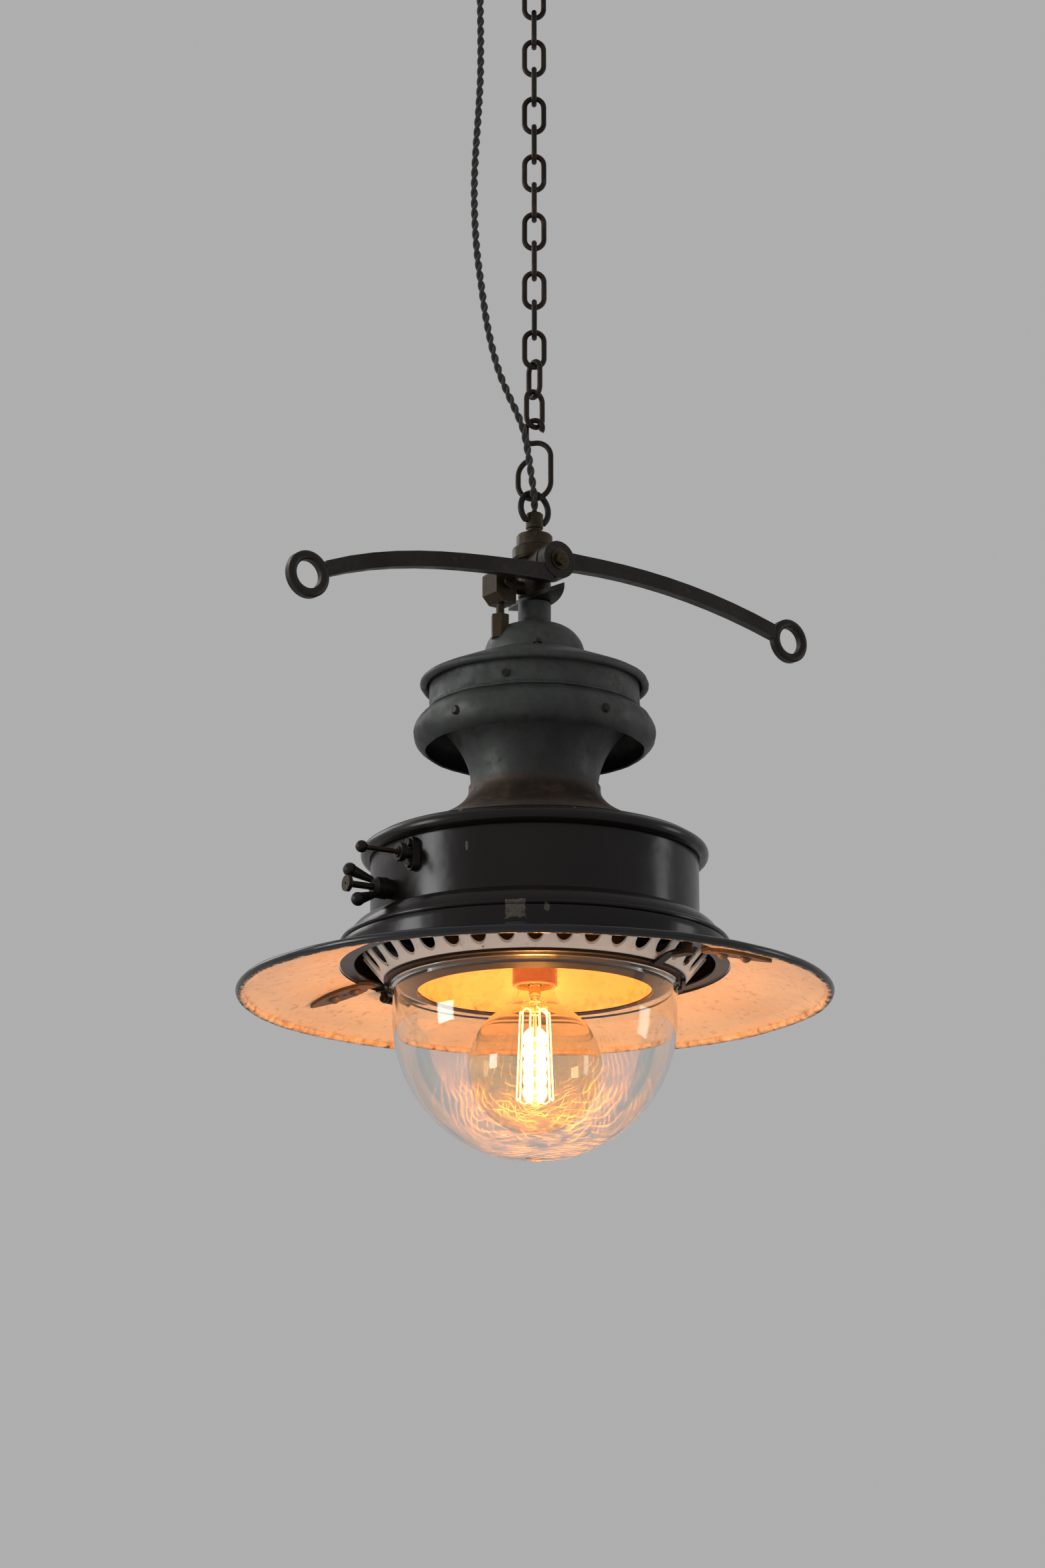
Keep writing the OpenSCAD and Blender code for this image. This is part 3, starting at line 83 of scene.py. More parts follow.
class Mat:
    """A node material put together step by step, in the object's own metres."""

    def __init__(self, name):
        self.m = bpy.data.materials.new(name)
        self.m.use_nodes = True
        self.nt = self.m.node_tree
        self.nt.nodes.clear()
        self.out = self.node("ShaderNodeOutputMaterial")
        self.co = self.node("ShaderNodeTexCoord").outputs["Object"]

    def node(self, kind, **props):
        n = self.nt.nodes.new(kind)
        for k, v in props.items():
            setattr(n, k, v)
        return n

    def link(self, a, b):
        self.nt.links.new(a, b)

    def put(self, x, socket):
        """A number, a colour or another node's output, put on a socket."""
        if isinstance(x, tuple):
            socket.default_value = x if len(x) == 4 else (*x, 1)
        elif isinstance(x, (int, float)):
            socket.default_value = x
        else:
            self.link(x, socket)

    def noise(self, scale, detail=4.0, rough=0.55, stretch=None, distortion=0.0, co=None):
        n = self.node("ShaderNodeTexNoise")
        n.inputs["Scale"].default_value = scale
        n.inputs["Detail"].default_value = detail
        n.inputs["Roughness"].default_value = rough
        n.inputs["Distortion"].default_value = distortion
        co = self.co if co is None else co
        if stretch:
            mp = self.node("ShaderNodeMapping")
            mp.inputs["Scale"].default_value = stretch
            self.link(co, mp.inputs["Vector"])
            co = mp.outputs["Vector"]
        self.link(co, n.inputs["Vector"])
        return n.outputs["Fac"]

    def span(self, fac, lo, hi, a=0.0, b=1.0):
        """fac from lo to hi becomes a to b, and stays there beyond."""
        r = self.node("ShaderNodeMapRange")
        r.inputs["From Min"].default_value = lo
        r.inputs["From Max"].default_value = hi
        r.inputs["To Min"].default_value = a
        r.inputs["To Max"].default_value = b
        self.link(fac, r.inputs["Value"])
        return r.outputs["Result"]

    def calc(self, op, *values):
        n = self.node("ShaderNodeMath", operation=op)
        for socket, x in zip(n.inputs, values):
            self.put(x, socket)
        return n.outputs["Value"]

    def add(self, a, b):
        return self.calc("ADD", a, b)

    def mul(self, a, b):
        return self.calc("MULTIPLY", a, b)

    def most(self, a, b):
        return self.calc("MAXIMUM", a, b)

    def mix(self, fac, a, b):
        n = self.node("ShaderNodeMix", data_type="RGBA")
        self.link(fac, n.inputs["Factor"])
        self.put(a, n.inputs["A"])
        self.put(b, n.inputs["B"])
        return n.outputs["Result"]

    def mix_shader(self, fac, a, b):
        n = self.node("ShaderNodeMixShader")
        for socket, x in zip(n.inputs, (fac, a, b)):
            self.link(x, socket)
        return n.outputs[0]

    def axes(self, place):
        s = self.node("ShaderNodeSeparateXYZ")
        self.link(place, s.inputs[0])
        return s.outputs["X"], s.outputs["Y"], s.outputs["Z"]

    def away(self, x, y):
        """Distance from the axis that x and y are measured from."""
        return self.calc("SQRT", self.add(self.mul(x, x), self.mul(y, y)))

    def local(self, centre, turn, scale=(1, 1, 1)):
        """The place in turned and scaled axes that start at a point."""
        mp = self.node("ShaderNodeMapping", vector_type="TEXTURE")
        mp.inputs["Location"].default_value = centre
        mp.inputs["Rotation"].default_value = turn
        mp.inputs["Scale"].default_value = scale
        self.link(self.co, mp.inputs["Vector"])
        return mp.outputs["Vector"]

    def bump(self, height, distance, strength=1.0, after=None):
        b = self.node("ShaderNodeBump")
        b.inputs["Strength"].default_value = strength
        b.inputs["Distance"].default_value = distance
        self.link(height, b.inputs["Height"])
        if after is not None:
            self.link(after, b.inputs["Normal"])
        return b.outputs["Normal"]

    def edge(self):
        """Bright where an edge stands proud, from a rounded normal."""
        bev = self.node("ShaderNodeBevel", samples=4)
        bev.inputs["Radius"].default_value = 0.0008
        geo = self.node("ShaderNodeNewGeometry")
        dot = self.node("ShaderNodeVectorMath", operation="DOT_PRODUCT")
        self.link(bev.outputs["Normal"], dot.inputs[0])
        self.link(geo.outputs["Normal"], dot.inputs[1])
        return self.span(self.calc("SUBTRACT", 1.0, dot.outputs["Value"]), 0.04, 0.3)

    def principled(self, color, rough, metal=0.0, normal=None, **consts):
        p = self.node("ShaderNodeBsdfPrincipled")
        self.put(color, p.inputs["Base Color"])
        self.put(rough, p.inputs["Roughness"])
        self.put(metal, p.inputs["Metallic"])
        if normal is not None:
            self.link(normal, p.inputs["Normal"])
        for k, x in consts.items():
            p.inputs[k.replace("_", " ")].default_value = x
        return p

    def shader(self, kind, color):
        n = self.node(kind)
        n.inputs["Color"].default_value = (*color, 1)
        return n.outputs[0]

    def spot(self, centre, half, ragged, square=False):
        """1 inside a small ellipsoid or box about a point (mm, drawn height), its edge ragged."""
        at = (centre[0] * MM, centre[1] * MM, (centre[2] + LIFT) * MM)
        turn = (0, 0, math.atan2(centre[1], centre[0]))
        place = self.local(at, turn, tuple(h * MM for h in half))
        if square:
            size = 0.0
            for x in self.axes(place):
                size = self.most(self.calc("ABSOLUTE", x), size)
        else:
            n = self.node("ShaderNodeVectorMath", operation="LENGTH")
            self.link(place, n.inputs[0])
            size = n.outputs["Value"]
        frayed = self.span(self.noise(330.0, 4.0, 0.6), 0.3, 0.7, -ragged, ragged)
        return self.span(self.add(size, frayed), 1.06, 0.94)

    def painted_scratch_glints(self):
        """Painted glints: fine wiping scratches on the glass, drawn only as arcs round the bulb
        where they catch its light in the camera's view. They lie in the plane that the camera
        faces, about points right of and above the filament (metres)."""
        filament_at = Vector((0, 0, -0.900))
        arcs_per_metre, waver = 240.0, 7.0
        lines = None
        for right, up, wide in ((0.0, 0.004, 1.3), (0.010, 0.012, 1.1), (-0.012, 0.0, 1.6),
                                (0.024, -0.006, 1.2), (0.004, -0.012, 1.5)):
            centre = filament_at + right * U + up * UP
            x, y, _ = self.axes(self.local(tuple(centre), CAMERA_TURN))
            r = self.away(x, y)
            c = self.node("ShaderNodeCombineXYZ")
            self.link(self.mul(self.calc("ARCTAN2", x, self.mul(y, -1.0)), wide), c.inputs[0])
            self.link(self.mul(r, 30.0), c.inputs[1])
            wander = self.noise(1.0, 0.0, 0.5, distortion=0.1, co=c.outputs[0])
            turns = self.add(self.mul(r, arcs_per_metre), self.mul(wander, waver))
            near = self.calc("ABSOLUTE", self.calc("SUBTRACT", self.calc("FRACT", turns), 0.5))
            where = self.mul(self.span(r, 0.014, 0.026), self.span(r, 0.066, 0.046))
            line = self.mul(self.span(near, 0.05, 0.012), where)
            line = self.mul(line, self.span(y, 0.012, -0.022))
            lines = line if lines is None else self.most(lines, line)
        return self.mul(lines, self.span(self.noise(60.0, 4.0, 0.6), 0.40, 0.58))

    def done(self, shader):
        self.link(shader, self.out.inputs["Surface"])
        return self.m


def metal_mat(name, dark, light, rust, metal, rough, grain=260.0, pits=0.00016, rust_at=0.60,
              wear=None):
    """Old metal or paint: mottled, pitted, with rust, and brighter on worn edges."""
    m = Mat(name)
    big = m.noise(14.0, 5.0, 0.6)
    mid = m.noise(70.0, 6.0, 0.65)
    fine = m.noise(grain, 4.0, 0.6)
    col = m.mix(m.span(big, 0.35, 0.65), dark, light)
    col = m.mix(m.span(fine, 0.42, 0.68, 0.0, 0.35), col, faded(dark, 0.55))
    rusty = m.span(mid, rust_at, rust_at + 0.12, 0.0, 0.85)
    col = m.mix(rusty, col, rust)
    if wear is not None:
        col = m.mix(m.mul(m.edge(), m.span(mid, 0.38, 0.55)), col, wear)
    r = m.add(m.span(mid, 0.3, 0.7, rough - 0.08, rough + 0.12), m.mul(rusty, 0.2))
    h = m.add(m.mul(fine, 0.5), mid)
    bare = m.mul(m.calc("SUBTRACT", 1.0, rusty), metal)
    return m.done(m.principled(col, r, bare, m.bump(h, pits)).outputs[0])


# worn marks on the black body: where and how large from their middle (mm); the first is a
# square patch
MARKS = [((-93.7, -102.0, -820.5), (4, 6.6, 6.2)),
         ((-77.0, -115.1, -819.3), (4, 2.2, 3.0)),
         ((-122.6, -61.1, -803.8), (5, 1.6, 1.6)),
         ((-104.6, -53.6, -744.4), (4, 1.6, 1.8)),
         ((-47.1, -107.7, -745.3), (4, 0.9, 2.2)),
         ((-102.3, -57.7, -769.1), (4, 1.2, 3.2))]
MARK_COLOR = (0.13, 0.115, 0.092)


def enamel_mat(name, base, second, chip, under, gloss=0.2, chip_at=0.66, rim=None, streak=0.0,
               spec=0.5, spots=(), rag=85.0):
    """Vitreous enamel: glossy, slightly wavy, with chips that show the iron under it.
    rim is (radius where the rust starts, radius where it is full), in metres, and rag how
    finely its edge is torn."""
    m = Mat(name)
    wave = m.noise(36.0, 2.0, 0.5)
    mid = m.noise(85.0, 5.0, 0.6)
    fine = m.noise(420.0, 4.0, 0.6)
    big = m.noise(9.0, 4.0, 0.6)
    col = m.mix(m.span(big, 0.35, 0.7), base, second)
    col = m.mix(m.span(fine, 0.5, 0.8, 0.0, 0.25), col, faded(base, 0.6))
    chips = m.span(mid, chip_at, chip_at + 0.025)
    halo = m.span(mid, chip_at - 0.05, chip_at + 0.02, 0.0, 0.7)
    if rim is not None:
        x, y, _ = m.axes(m.co)
        band = m.span(m.away(x, y), rim[0], rim[1])
        torn = m.add(band, m.span(m.noise(rag, 5.0, 0.65), 0.3, 0.7, -0.4, 0.4))
        chips = m.most(chips, m.span(torn, 0.5, 0.68))
        halo = m.most(halo, m.span(torn, 0.1, 0.6, 0.0, 0.85))
    if streak:
        run = m.noise(30.0, 3.0, 0.6, stretch=(1.0, 1.0, 0.12))
        col = m.mix(m.span(run, 0.52, 0.75, 0.0, streak), col, under)
    col = m.mix(halo, col, under)
    col = m.mix(chips, col, m.mix(m.span(fine, 0.4, 0.62), chip, faded(chip, 0.35)))
    for k, (centre, half) in enumerate(spots):
        first = k == 0
        here = m.spot(centre, half, 0.16 if first else 0.35, square=first)
        worn = m.mix(m.span(fine, 0.35, 0.65), MARK_COLOR, faded(MARK_COLOR, 0.6))
        col = m.mix(here, col, worn)
        chips = m.most(chips, here)
    rough = m.add(m.span(big, 0.3, 0.7, gloss, gloss + 0.12), m.mul(chips, 0.55))
    n = m.bump(wave, 0.0012, 0.5)
    n = m.bump(m.calc("SUBTRACT", m.mul(fine, 0.12), chips), 0.00022, 1.0, n)
    return m.done(m.principled(col, rough, 0.0, n, Specular_IOR_Level=spec).outputs[0])


def glass_mat(name, tint, dirt_lo, dirt_hi, dust, scratch_glint, ior=1.47):
    """Clear glass. Its dust grows from the height dirt_hi down to dirt_lo (metres), and
    scratch_glint is the strength of the painted scratch glints round the bulb."""
    m = Mat(name)
    clear = m.principled(tint, 0.0, IOR=ior, Transmission_Weight=1.0)
    low = m.span(m.axes(m.co)[2], dirt_hi, dirt_lo)
    specks = m.span(m.noise(900.0, 3.0, 0.6), 0.60, 0.72)
    patches = m.span(m.noise(28.0, 5.0, 0.62), 0.42, 0.72)
    film = m.mul(m.add(m.mul(specks, 0.6), patches), dust)
    film = m.mul(film, m.add(m.mul(low, 0.9), 0.015))
    film = m.calc("MINIMUM", film, 0.75)
    dusty = m.shader("ShaderNodeBsdfDiffuse", (0.46, 0.40, 0.31))
    look = m.mix_shader(film, clear.outputs[0], dusty)
    if scratch_glint:
        # painted glints: golden scratch arcs round the bulb, shown as if lit through by the bulb
        lit = m.shader("ShaderNodeBsdfTranslucent", (1.0, 0.66, 0.28))
        look = m.mix_shader(m.mul(m.painted_scratch_glints(), scratch_glint), look, lit)
    shade = m.shader("ShaderNodeBsdfTransparent", (0.96, 0.96, 0.95))
    path = m.node("ShaderNodeLightPath")
    return m.done(m.mix_shader(path.outputs["Is Shadow Ray"], look, shade))


def glow_mat(name, color, strength):
    m = Mat(name)
    fine = m.noise(900.0, 2.0, 0.5)
    p = m.principled((0.9, 0.45, 0.12), 0.4, 0.0)
    e = m.node("ShaderNodeEmission")
    e.inputs["Color"].default_value = (*color, 1)
    m.link(m.span(fine, 0.3, 0.7, strength * 0.85, strength * 1.15), e.inputs["Strength"])
    both = m.node("ShaderNodeAddShader")
    m.link(p.outputs[0], both.inputs[0])
    m.link(e.outputs[0], both.inputs[1])
    return m.done(both.outputs[0])


def braid_mat(name):
    m = Mat(name)
    fine = m.noise(1500.0, 3.0, 0.7)
    big = m.noise(60.0, 4.0, 0.6)
    col = m.mix(m.span(fine, 0.35, 0.7), (0.010, 0.0095, 0.009), (0.034, 0.031, 0.028))
    col = m.mix(m.span(big, 0.5, 0.75, 0.0, 0.4), col, (0.030, 0.023, 0.018))
    w = m.node("ShaderNodeTexVoronoi")
    w.inputs["Scale"].default_value = 1400.0
    m.link(m.co, w.inputs["Vector"])
    h = m.add(w.outputs["Distance"], m.mul(fine, 0.5))
    return m.done(m.principled(col, 0.85, 0.0, m.bump(h, 0.00035),
                               Sheen_Weight=0.25, Sheen_Roughness=0.5).outputs[0])


RUST = (0.16, 0.055, 0.02)
M = {
    "iron": metal_mat("dark_iron", (0.013, 0.0115, 0.0108), (0.030, 0.026, 0.023),
                      (0.050, 0.024, 0.014), 0.7, 0.44, wear=(0.10, 0.085, 0.07)),
    "strap": metal_mat("strap_iron", (0.10, 0.058, 0.034), (0.19, 0.105, 0.058),
                       (0.06, 0.026, 0.013), 0.2, 0.5, wear=(0.30, 0.18, 0.10)),
    "chain": metal_mat("bronzed_chain", (0.018, 0.014, 0.011), (0.042, 0.031, 0.022),
                       (0.060, 0.028, 0.015), 0.8, 0.42, wear=(0.15, 0.115, 0.08)),
    "brass": metal_mat("dark_brass", (0.022, 0.017, 0.011), (0.052, 0.037, 0.020),
                       (0.030, 0.030, 0.022), 0.8, 0.42, wear=(0.24, 0.17, 0.08)),
    "tin": metal_mat("patinated_tin", (0.027, 0.031, 0.029), (0.056, 0.062, 0.057),
                     (0.040, 0.037, 0.030), 0.3, 0.52, grain=200.0, rust_at=0.57),
    "flare": metal_mat("brown_tin", (0.034, 0.024, 0.017), (0.070, 0.047, 0.031),
                       (0.055, 0.027, 0.015), 0.25, 0.5, rust_at=0.54),
    "steel": metal_mat("plain_steel", (0.14, 0.13, 0.12), (0.24, 0.23, 0.21), RUST, 0.9, 0.40,
                       rust_at=0.62),
    "black_paint": metal_mat("black_paint", (0.012, 0.012, 0.012), (0.022, 0.021, 0.020),
                             (0.030, 0.025, 0.020), 0.0, 0.38, pits=0.00006, rust_at=0.68),
    "black_enamel": enamel_mat("black_enamel", (0.0075, 0.0058, 0.0055), (0.013, 0.0098, 0.0088),
                               (0.12, 0.105, 0.09), (0.014, 0.010, 0.008), 0.19, 0.735,
                               streak=0.25, spec=0.26, spots=MARKS),
    "shade_out": enamel_mat("shade_outside", (0.012, 0.0125, 0.015), (0.024, 0.025, 0.030),
                            (0.10, 0.05, 0.028), (0.020, 0.016, 0.014), 0.16, 0.705, spec=0.35),
    # inside of the shade: its peach base is warmer than its white enamel, as painted orange glow
    # of the bulb; the torn rust at the rim is real
    "glow_painted_shade_in": enamel_mat("shade_inside", (0.80, 0.61, 0.39), (0.70, 0.48, 0.28),
                           (0.13, 0.05, 0.02), (0.40, 0.21, 0.10), 0.16, 0.775,
                           rim=(0.2030, 0.2135), rag=150.0),
    "white_enamel": enamel_mat("white_enamel", (0.84, 0.83, 0.79), (0.76, 0.74, 0.68), RUST,
                               (0.50, 0.38, 0.26), 0.18, 0.665, rim=(0.1175, 0.1262)),
    # reflector: its base is a darker amber than its cream enamel, partly painted orange glow of
    # the bulb and partly painted shade that keeps it from glaring so near the bulb; the torn rust
    # at its rim is real
    "reflector": enamel_mat("reflector_enamel", (0.60, 0.38, 0.18), (0.50, 0.29, 0.12),
                            (0.20, 0.075, 0.028), (0.40, 0.20, 0.08), 0.24, 0.715,
                            rim=(0.0815, 0.0862), rag=160.0),
    "ring": enamel_mat("globe_ring_black", (0.007, 0.006, 0.0055), (0.013, 0.010, 0.009),
                       (0.05, 0.03, 0.02), (0.015, 0.011, 0.009), 0.24, 0.74, spec=0.22),
    "moulding": metal_mat("brown_moulding", (0.30, 0.115, 0.045), (0.40, 0.17, 0.07),
                          (0.16, 0.06, 0.03), 0.0, 0.32, pits=0.00005, rust_at=0.66),
    "cap_brass": metal_mat("bulb_brass", (0.42, 0.30, 0.13), (0.56, 0.42, 0.20),
                           (0.20, 0.13, 0.06), 0.9, 0.32, rust_at=0.66),
    # the bowl's 0.5 is the strength of its painted scratch glints
    "globe": glass_mat("globe_glass_clear", (0.97, 0.985, 0.97), -0.960, -0.895, 0.08, 0.5),
    "bulb": glass_mat("bulb_glass_amber", (1.0, 0.90, 0.70), -0.985, -0.90, 0.03, 0.0, 1.45),
    "stem_glass": glass_mat("stem_glass", (0.98, 0.97, 0.95), -0.99, -0.98, 0.02, 0.0, 1.5),
    "glow": glow_mat("filament_glow", (1.0, 0.42, 0.10), 80.0),
    "braid": braid_mat("cotton_braid"),
}


# Mesh helpers
def make(name, verts, faces, mats, body, slots=None, replaces=(), slot=None, crease=40.0):
    """A piece from points in mm. Edges sharper than crease degrees stay sharp."""
    me = bpy.data.meshes.new(name)
    me.from_pydata([Vector(v) * MM for v in verts], [], faces)
    me.update()
    for m in mats:
        me.materials.append(m)
    if slots is not None:
        for p, s in zip(me.polygons, slots):
            p.material_index = s
    bm = bmesh.new()
    bm.from_mesh(me)
    bmesh.ops.recalc_face_normals(bm, faces=bm.faces)
    limit = math.radians(crease)
    for f in bm.faces:
        f.smooth = True
    for e in bm.edges:
        e.smooth = not (len(e.link_faces) == 2 and e.calc_face_angle(0.0) > limit)
    bm.to_mesh(me)
    bm.free()
    ob = bpy.data.objects.new(name, me)
    scene.collection.objects.link(ob)
    if body:
        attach(ob, body)
    if replaces:
        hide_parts(*replaces)
    return ob


def steps(a, b, n):
    """n + 1 even steps from a to b."""
    return [a + (b - a) * i / n for i in range(n + 1)]


def arc(cx, cz, r, a0, a1, n):
    """Points of an arc from a0 to a1 degrees, in a profile's radius and height."""
    return [(cx + r * math.cos(math.radians(a)), cz + r * math.sin(math.radians(a)))
            for a in steps(a0, a1, n)]


def dense(pts, step):
    """Points put along a closed profile, no two further apart than step."""
    out = []
    for i, p in enumerate(pts):
        q = pts[(i + 1) % len(pts)]
        n = max(1, int(math.ceil(math.dist(p, q) / step)))
        for k in range(n):
            out.append((p[0] + (q[0] - p[0]) * k / n, p[1] + (q[1] - p[1]) * k / n))
    return out


def turned(name, prof, mats, body="lamp", n=192, dent=None, which=None, **kw):
    """A closed profile of (radius, drawn height) turned about the lamp's axis.
    dent(point) moves a point; which(k) picks the material of the strip after point k."""
    verts, faces, slots = [], [], []
    m = len(prof)
    for i in range(n):
        a = 2 * math.pi * i / n
        c, s = math.cos(a), math.sin(a)
        for r, z in prof:
            p = Vector((r * c, r * s, z + LIFT))
            verts.append(dent(p) if dent else p)
    for i in range(n):
        j = (i + 1) % n
        for k in range(m):
            after = (k + 1) % m
            faces.append((i * m + k, j * m + k, j * m + after, i * m + after))
            slots.append(which(k) if which else 0)
    return make(name, verts, faces, mats, body, slots, **kw)


def dents(amount, scale, seed):
    """Small hammered unevenness, the same on both faces of a sheet (mm)."""
    off = Vector((seed * 3.1, seed * 1.7, seed * 0.9))

    def move(p):
        r = math.hypot(p.x, p.y)
        q = Vector((p.x, p.y, p.z)) / scale + off
        d = noise.noise(q) * amount + noise.noise(q * 2.7) * amount * 0.35
        k = 1 + d / max(r, 1.0)
        return Vector((p.x * k, p.y * k, p.z + 0.3 * noise.noise(q * 0.7 + off) * amount))
    return move


def rod(path, radius, sides):
    """Points and faces of a round bar along a path (mm), closed at both ends."""
    n = len(path)
    verts, faces = [], []
    prev = Vector((0.31, 0.77, 0.55)).normalized()
    for i, p in enumerate(path):
        p = Vector(p)
        t = (Vector(path[min(i + 1, n - 1)]) - Vector(path[max(i - 1, 0)])).normalized()
        u = (prev - prev.dot(t) * t).normalized()
        prev = u
        v = t.cross(u)
        for k in range(sides):
            w = 2 * math.pi * k / sides
            verts.append(p + radius * (math.cos(w) * u + math.sin(w) * v))
    for i in range(n - 1):
        for k in range(sides):
            after = (k + 1) % sides
            faces.append((i * sides + k, i * sides + after,
                          (i + 1) * sides + after, (i + 1) * sides + k))
    faces.append(tuple(range(sides))[::-1])
    faces.append(tuple((n - 1) * sides + k for k in range(sides)))
    return verts, faces


# The flex, hanging beside the chain: its line in the picture's axes (right, away, up; mm)
ROUTE = [(-42, 0, -36.1), (-41.6, 0, -52), (-41, 0, -80), (-40.6, -0.5, -110), (-40.8, -1, -140),
         (-42.2, -2, -170), (-44, -3, -200), (-45, -4, -228), (-44.6, -5, -256),
         (-42.8, -6.2, -284), (-39.6, -7.4, -311), (-36, -8.5, -338), (-31.4, -9.5, -362),
         (-25.8, -10.4, -383), (-19, -11.2, -401), (-12.6, -11.8, -416), (-8, -12, -429),
         (-5.6, -11.6, -441), (-3.8, -11.4, -452), (-2.4, -11.4, -463), (-1, -10, -472.5),
         (-0.2, -6, -480.4), (0, -1.6, -485.4), (0, -0.1, -488), (0, 0, -489.9)]
# heights between which the flex is raised more and more, up to LIFT
RAISE_FROM, RAISE_OVER = -60, 430
EVEN_STEP = 0.75       # between the points of the even line
TWIST_PITCH = 17.0     # of the two cores about each other
CORE_OFF, CORE_R = 1.32, 1.44
# where each stretch ends, the body above it and the body below it, and a height near each of its
# ends
STRETCHES = [(-76.0, "ceiling", "top_link", -36.5, -72.0),
             (-250.0, "top_link", "chain", -78.0, -240.0),
             (-440.0, "chain", "s_hook", -300.0, -438.0),
             (-495.0, "s_hook", "lamp", -441.0, -488.0)]


def spline(pts, t):
    i = min(int(t), len(pts) - 2)
    f = t - i
    p = [Vector(pts[max(0, min(len(pts) - 1, i + k))]) for k in (-1, 0, 1, 2)]
    return 0.5 * (2 * p[1] + (p[2] - p[0]) * f + (2 * p[0] - 5 * p[1] + 4 * p[2] - p[3]) * f * f
                  + (3 * p[1] - p[0] - 3 * p[2] + p[3]) * f ** 3)


def to_part(p):
    """From the picture's axes to the part's."""
    z = p.z + (LIFT * (RAISE_FROM - p.z) / RAISE_OVER if p.z < RAISE_FROM else 0)
    return Vector((TURN_COS * p.x + TURN_SIN * p.y, -TURN_SIN * p.x + TURN_COS * p.y, z))


def even(line, step):
    """The same line in even steps."""
    out = [line[0]]
    carry = 0.0
    for a, b in zip(line, line[1:]):
        seg = (b - a).length
        while carry + seg >= step:
            a = a + (b - a) * ((step - carry) / seg)
            out.append(a.copy())
            seg = (b - a).length
            carry = 0.0
        carry += seg
    out.append(line[-1])
    return out


def twisted(name, pts, turn0):
    """Two braided cores twisted round each other along pts."""
    frames = []
    prev = Vector((0.6, 0.8, 0))
    for i, p in enumerate(pts):
        t = (pts[min(i + 1, len(pts) - 1)] - pts[max(i - 1, 0)]).normalized()
        u = (prev - prev.dot(t) * t).normalized()
        prev = u
        frames.append((p, u, t.cross(u)))
    verts, faces = [], []
    for core in (0, 1):
        line = []
        for i, (p, u, v) in enumerate(frames):
            w = turn0 + 2 * math.pi * (i * EVEN_STEP) / TWIST_PITCH + math.pi * core
            line.append(p + CORE_OFF * (math.cos(w) * u + math.sin(w) * v))
        vs, fs = rod(line, CORE_R, 12)
        o = len(verts)
        verts += vs
        faces += [tuple(i + o for i in f) for f in fs]
    return make(name, verts, faces, [M["braid"]], None, crease=80)


def build_flex():
    per_point = 40
    count = per_point * (len(ROUTE) - 1) + 1
    line = even([to_part(spline(ROUTE, k / per_point)) for k in range(count)], EVEN_STEP)
    start, turn = 0, 0.0
    for k, (z_end, above, below, z0, z1) in enumerate(STRETCHES):
        end = start
        while end < len(line) - 1 and line[end].z > z_end:
            end += 1
        pts = line[start:end + 1]
        ob = twisted("flex_%d" % (k + 1), pts, turn)
        turn += 2 * math.pi * ((len(pts) - 1) * EVEN_STEP) / TWIST_PITCH
        length = sum((b - a).length for a, b in zip(pts, pts[1:])) * MM
        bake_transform(ob)
        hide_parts("flex")
        [tuple(p * MM) for p in pts]
        start = end


build_flex()

# The shade: a shallow cone with a rolled rim
SHADE_IN, SHADE_OUT, SHADE_Z, SHADE_FALL, SHADE_T = 139, 209.0, -830.2, 18.5, 1.5
RIM_FROM, RIM_R = 198, 3.0


def shade_z(r):
    return SHADE_Z - SHADE_FALL * ((r - SHADE_IN) / 70) ** 1.12 if r > SHADE_IN else SHADE_Z


def build_shade():
    across = steps(SHADE_IN, RIM_FROM, 30)
    top = [(r, shade_z(r)) for r in across]
    rim = arc(SHADE_OUT, shade_z(SHADE_OUT) - 2.6, RIM_R, 105, -190, 22)
    low = [(r, shade_z(r) - SHADE_T) for r in across[::-1]]
    prof = top + rim + low
    outside = len(top) + 13    # strips down to the lowest part of the rim

    def wave(p):
        r = math.hypot(p.x, p.y)
        q = Vector((p.x, p.y, 0)) / 70
        d = 0.55 * noise.noise(q + Vector((3, 1, 0))) * min(1.0, max(0.0, (r - 145) / 40))
        d += 0.22 * noise.noise(q * 3.1) * min(1.0, max(0.0, (r - 190) / 15))
        return Vector((p.x, p.y, p.z + d))

    def which(k):
        return 0 if k < outside or k >= len(prof) - 1 else 1
    # slot 1, the inside, carries the painted bulb glow in its base colour
    turned("shade_sheet", prof, [M["shade_out"], M["glow_painted_shade_in"]], n=320, dent=wave, which=which,
           replaces=["shade"], slot="dark_enamel")


build_shade()


# The chimney
def waist_r(z):
    return 45.4 + 0.01176 * max(0, z + 697) ** 2


def flare_r(h):
    return 47.55 + 0.04 * h * h


lid = ([(26, -601.1), (38, -601.1)]
       + [(38 + (78.7 - 38) * t, -601.1 - 16.9 * t ** 1.02) for t in steps(0, 1, 12)[1:]]
       + arc(79.9, -622, 3, 88, -210, 20)
       + [(77.5, -619.4), (75.1, -618.4), (75.1, -638.7), (73.9, -638.7), (73.9, -617.9),
          (38, -602.4), (26, -602.4)])
cowl_out = ([(76.4, -619.03), (76.4, -640.2), (76.9, -640.8)]
            + arc(76.3, -642.1, 1.1, 60, -60, 8) + [(76.5, -643.5)]
            + arc(72.8, -658.5, 14.8, 70, -65, 30))
cowl_in = [(75.2, -619.03), (75.2, -643.4)] + arc(72.8, -658.5, 13.6, 72, -65, 30)
zs = [-725.5] + list(range(-720, -699, 4)) + steps(-697, -653, 22)
waist = [(waist_r(z) + 0.75, z) for z in zs] + [(waist_r(z) - 0.75, z) for z in zs[::-1]]
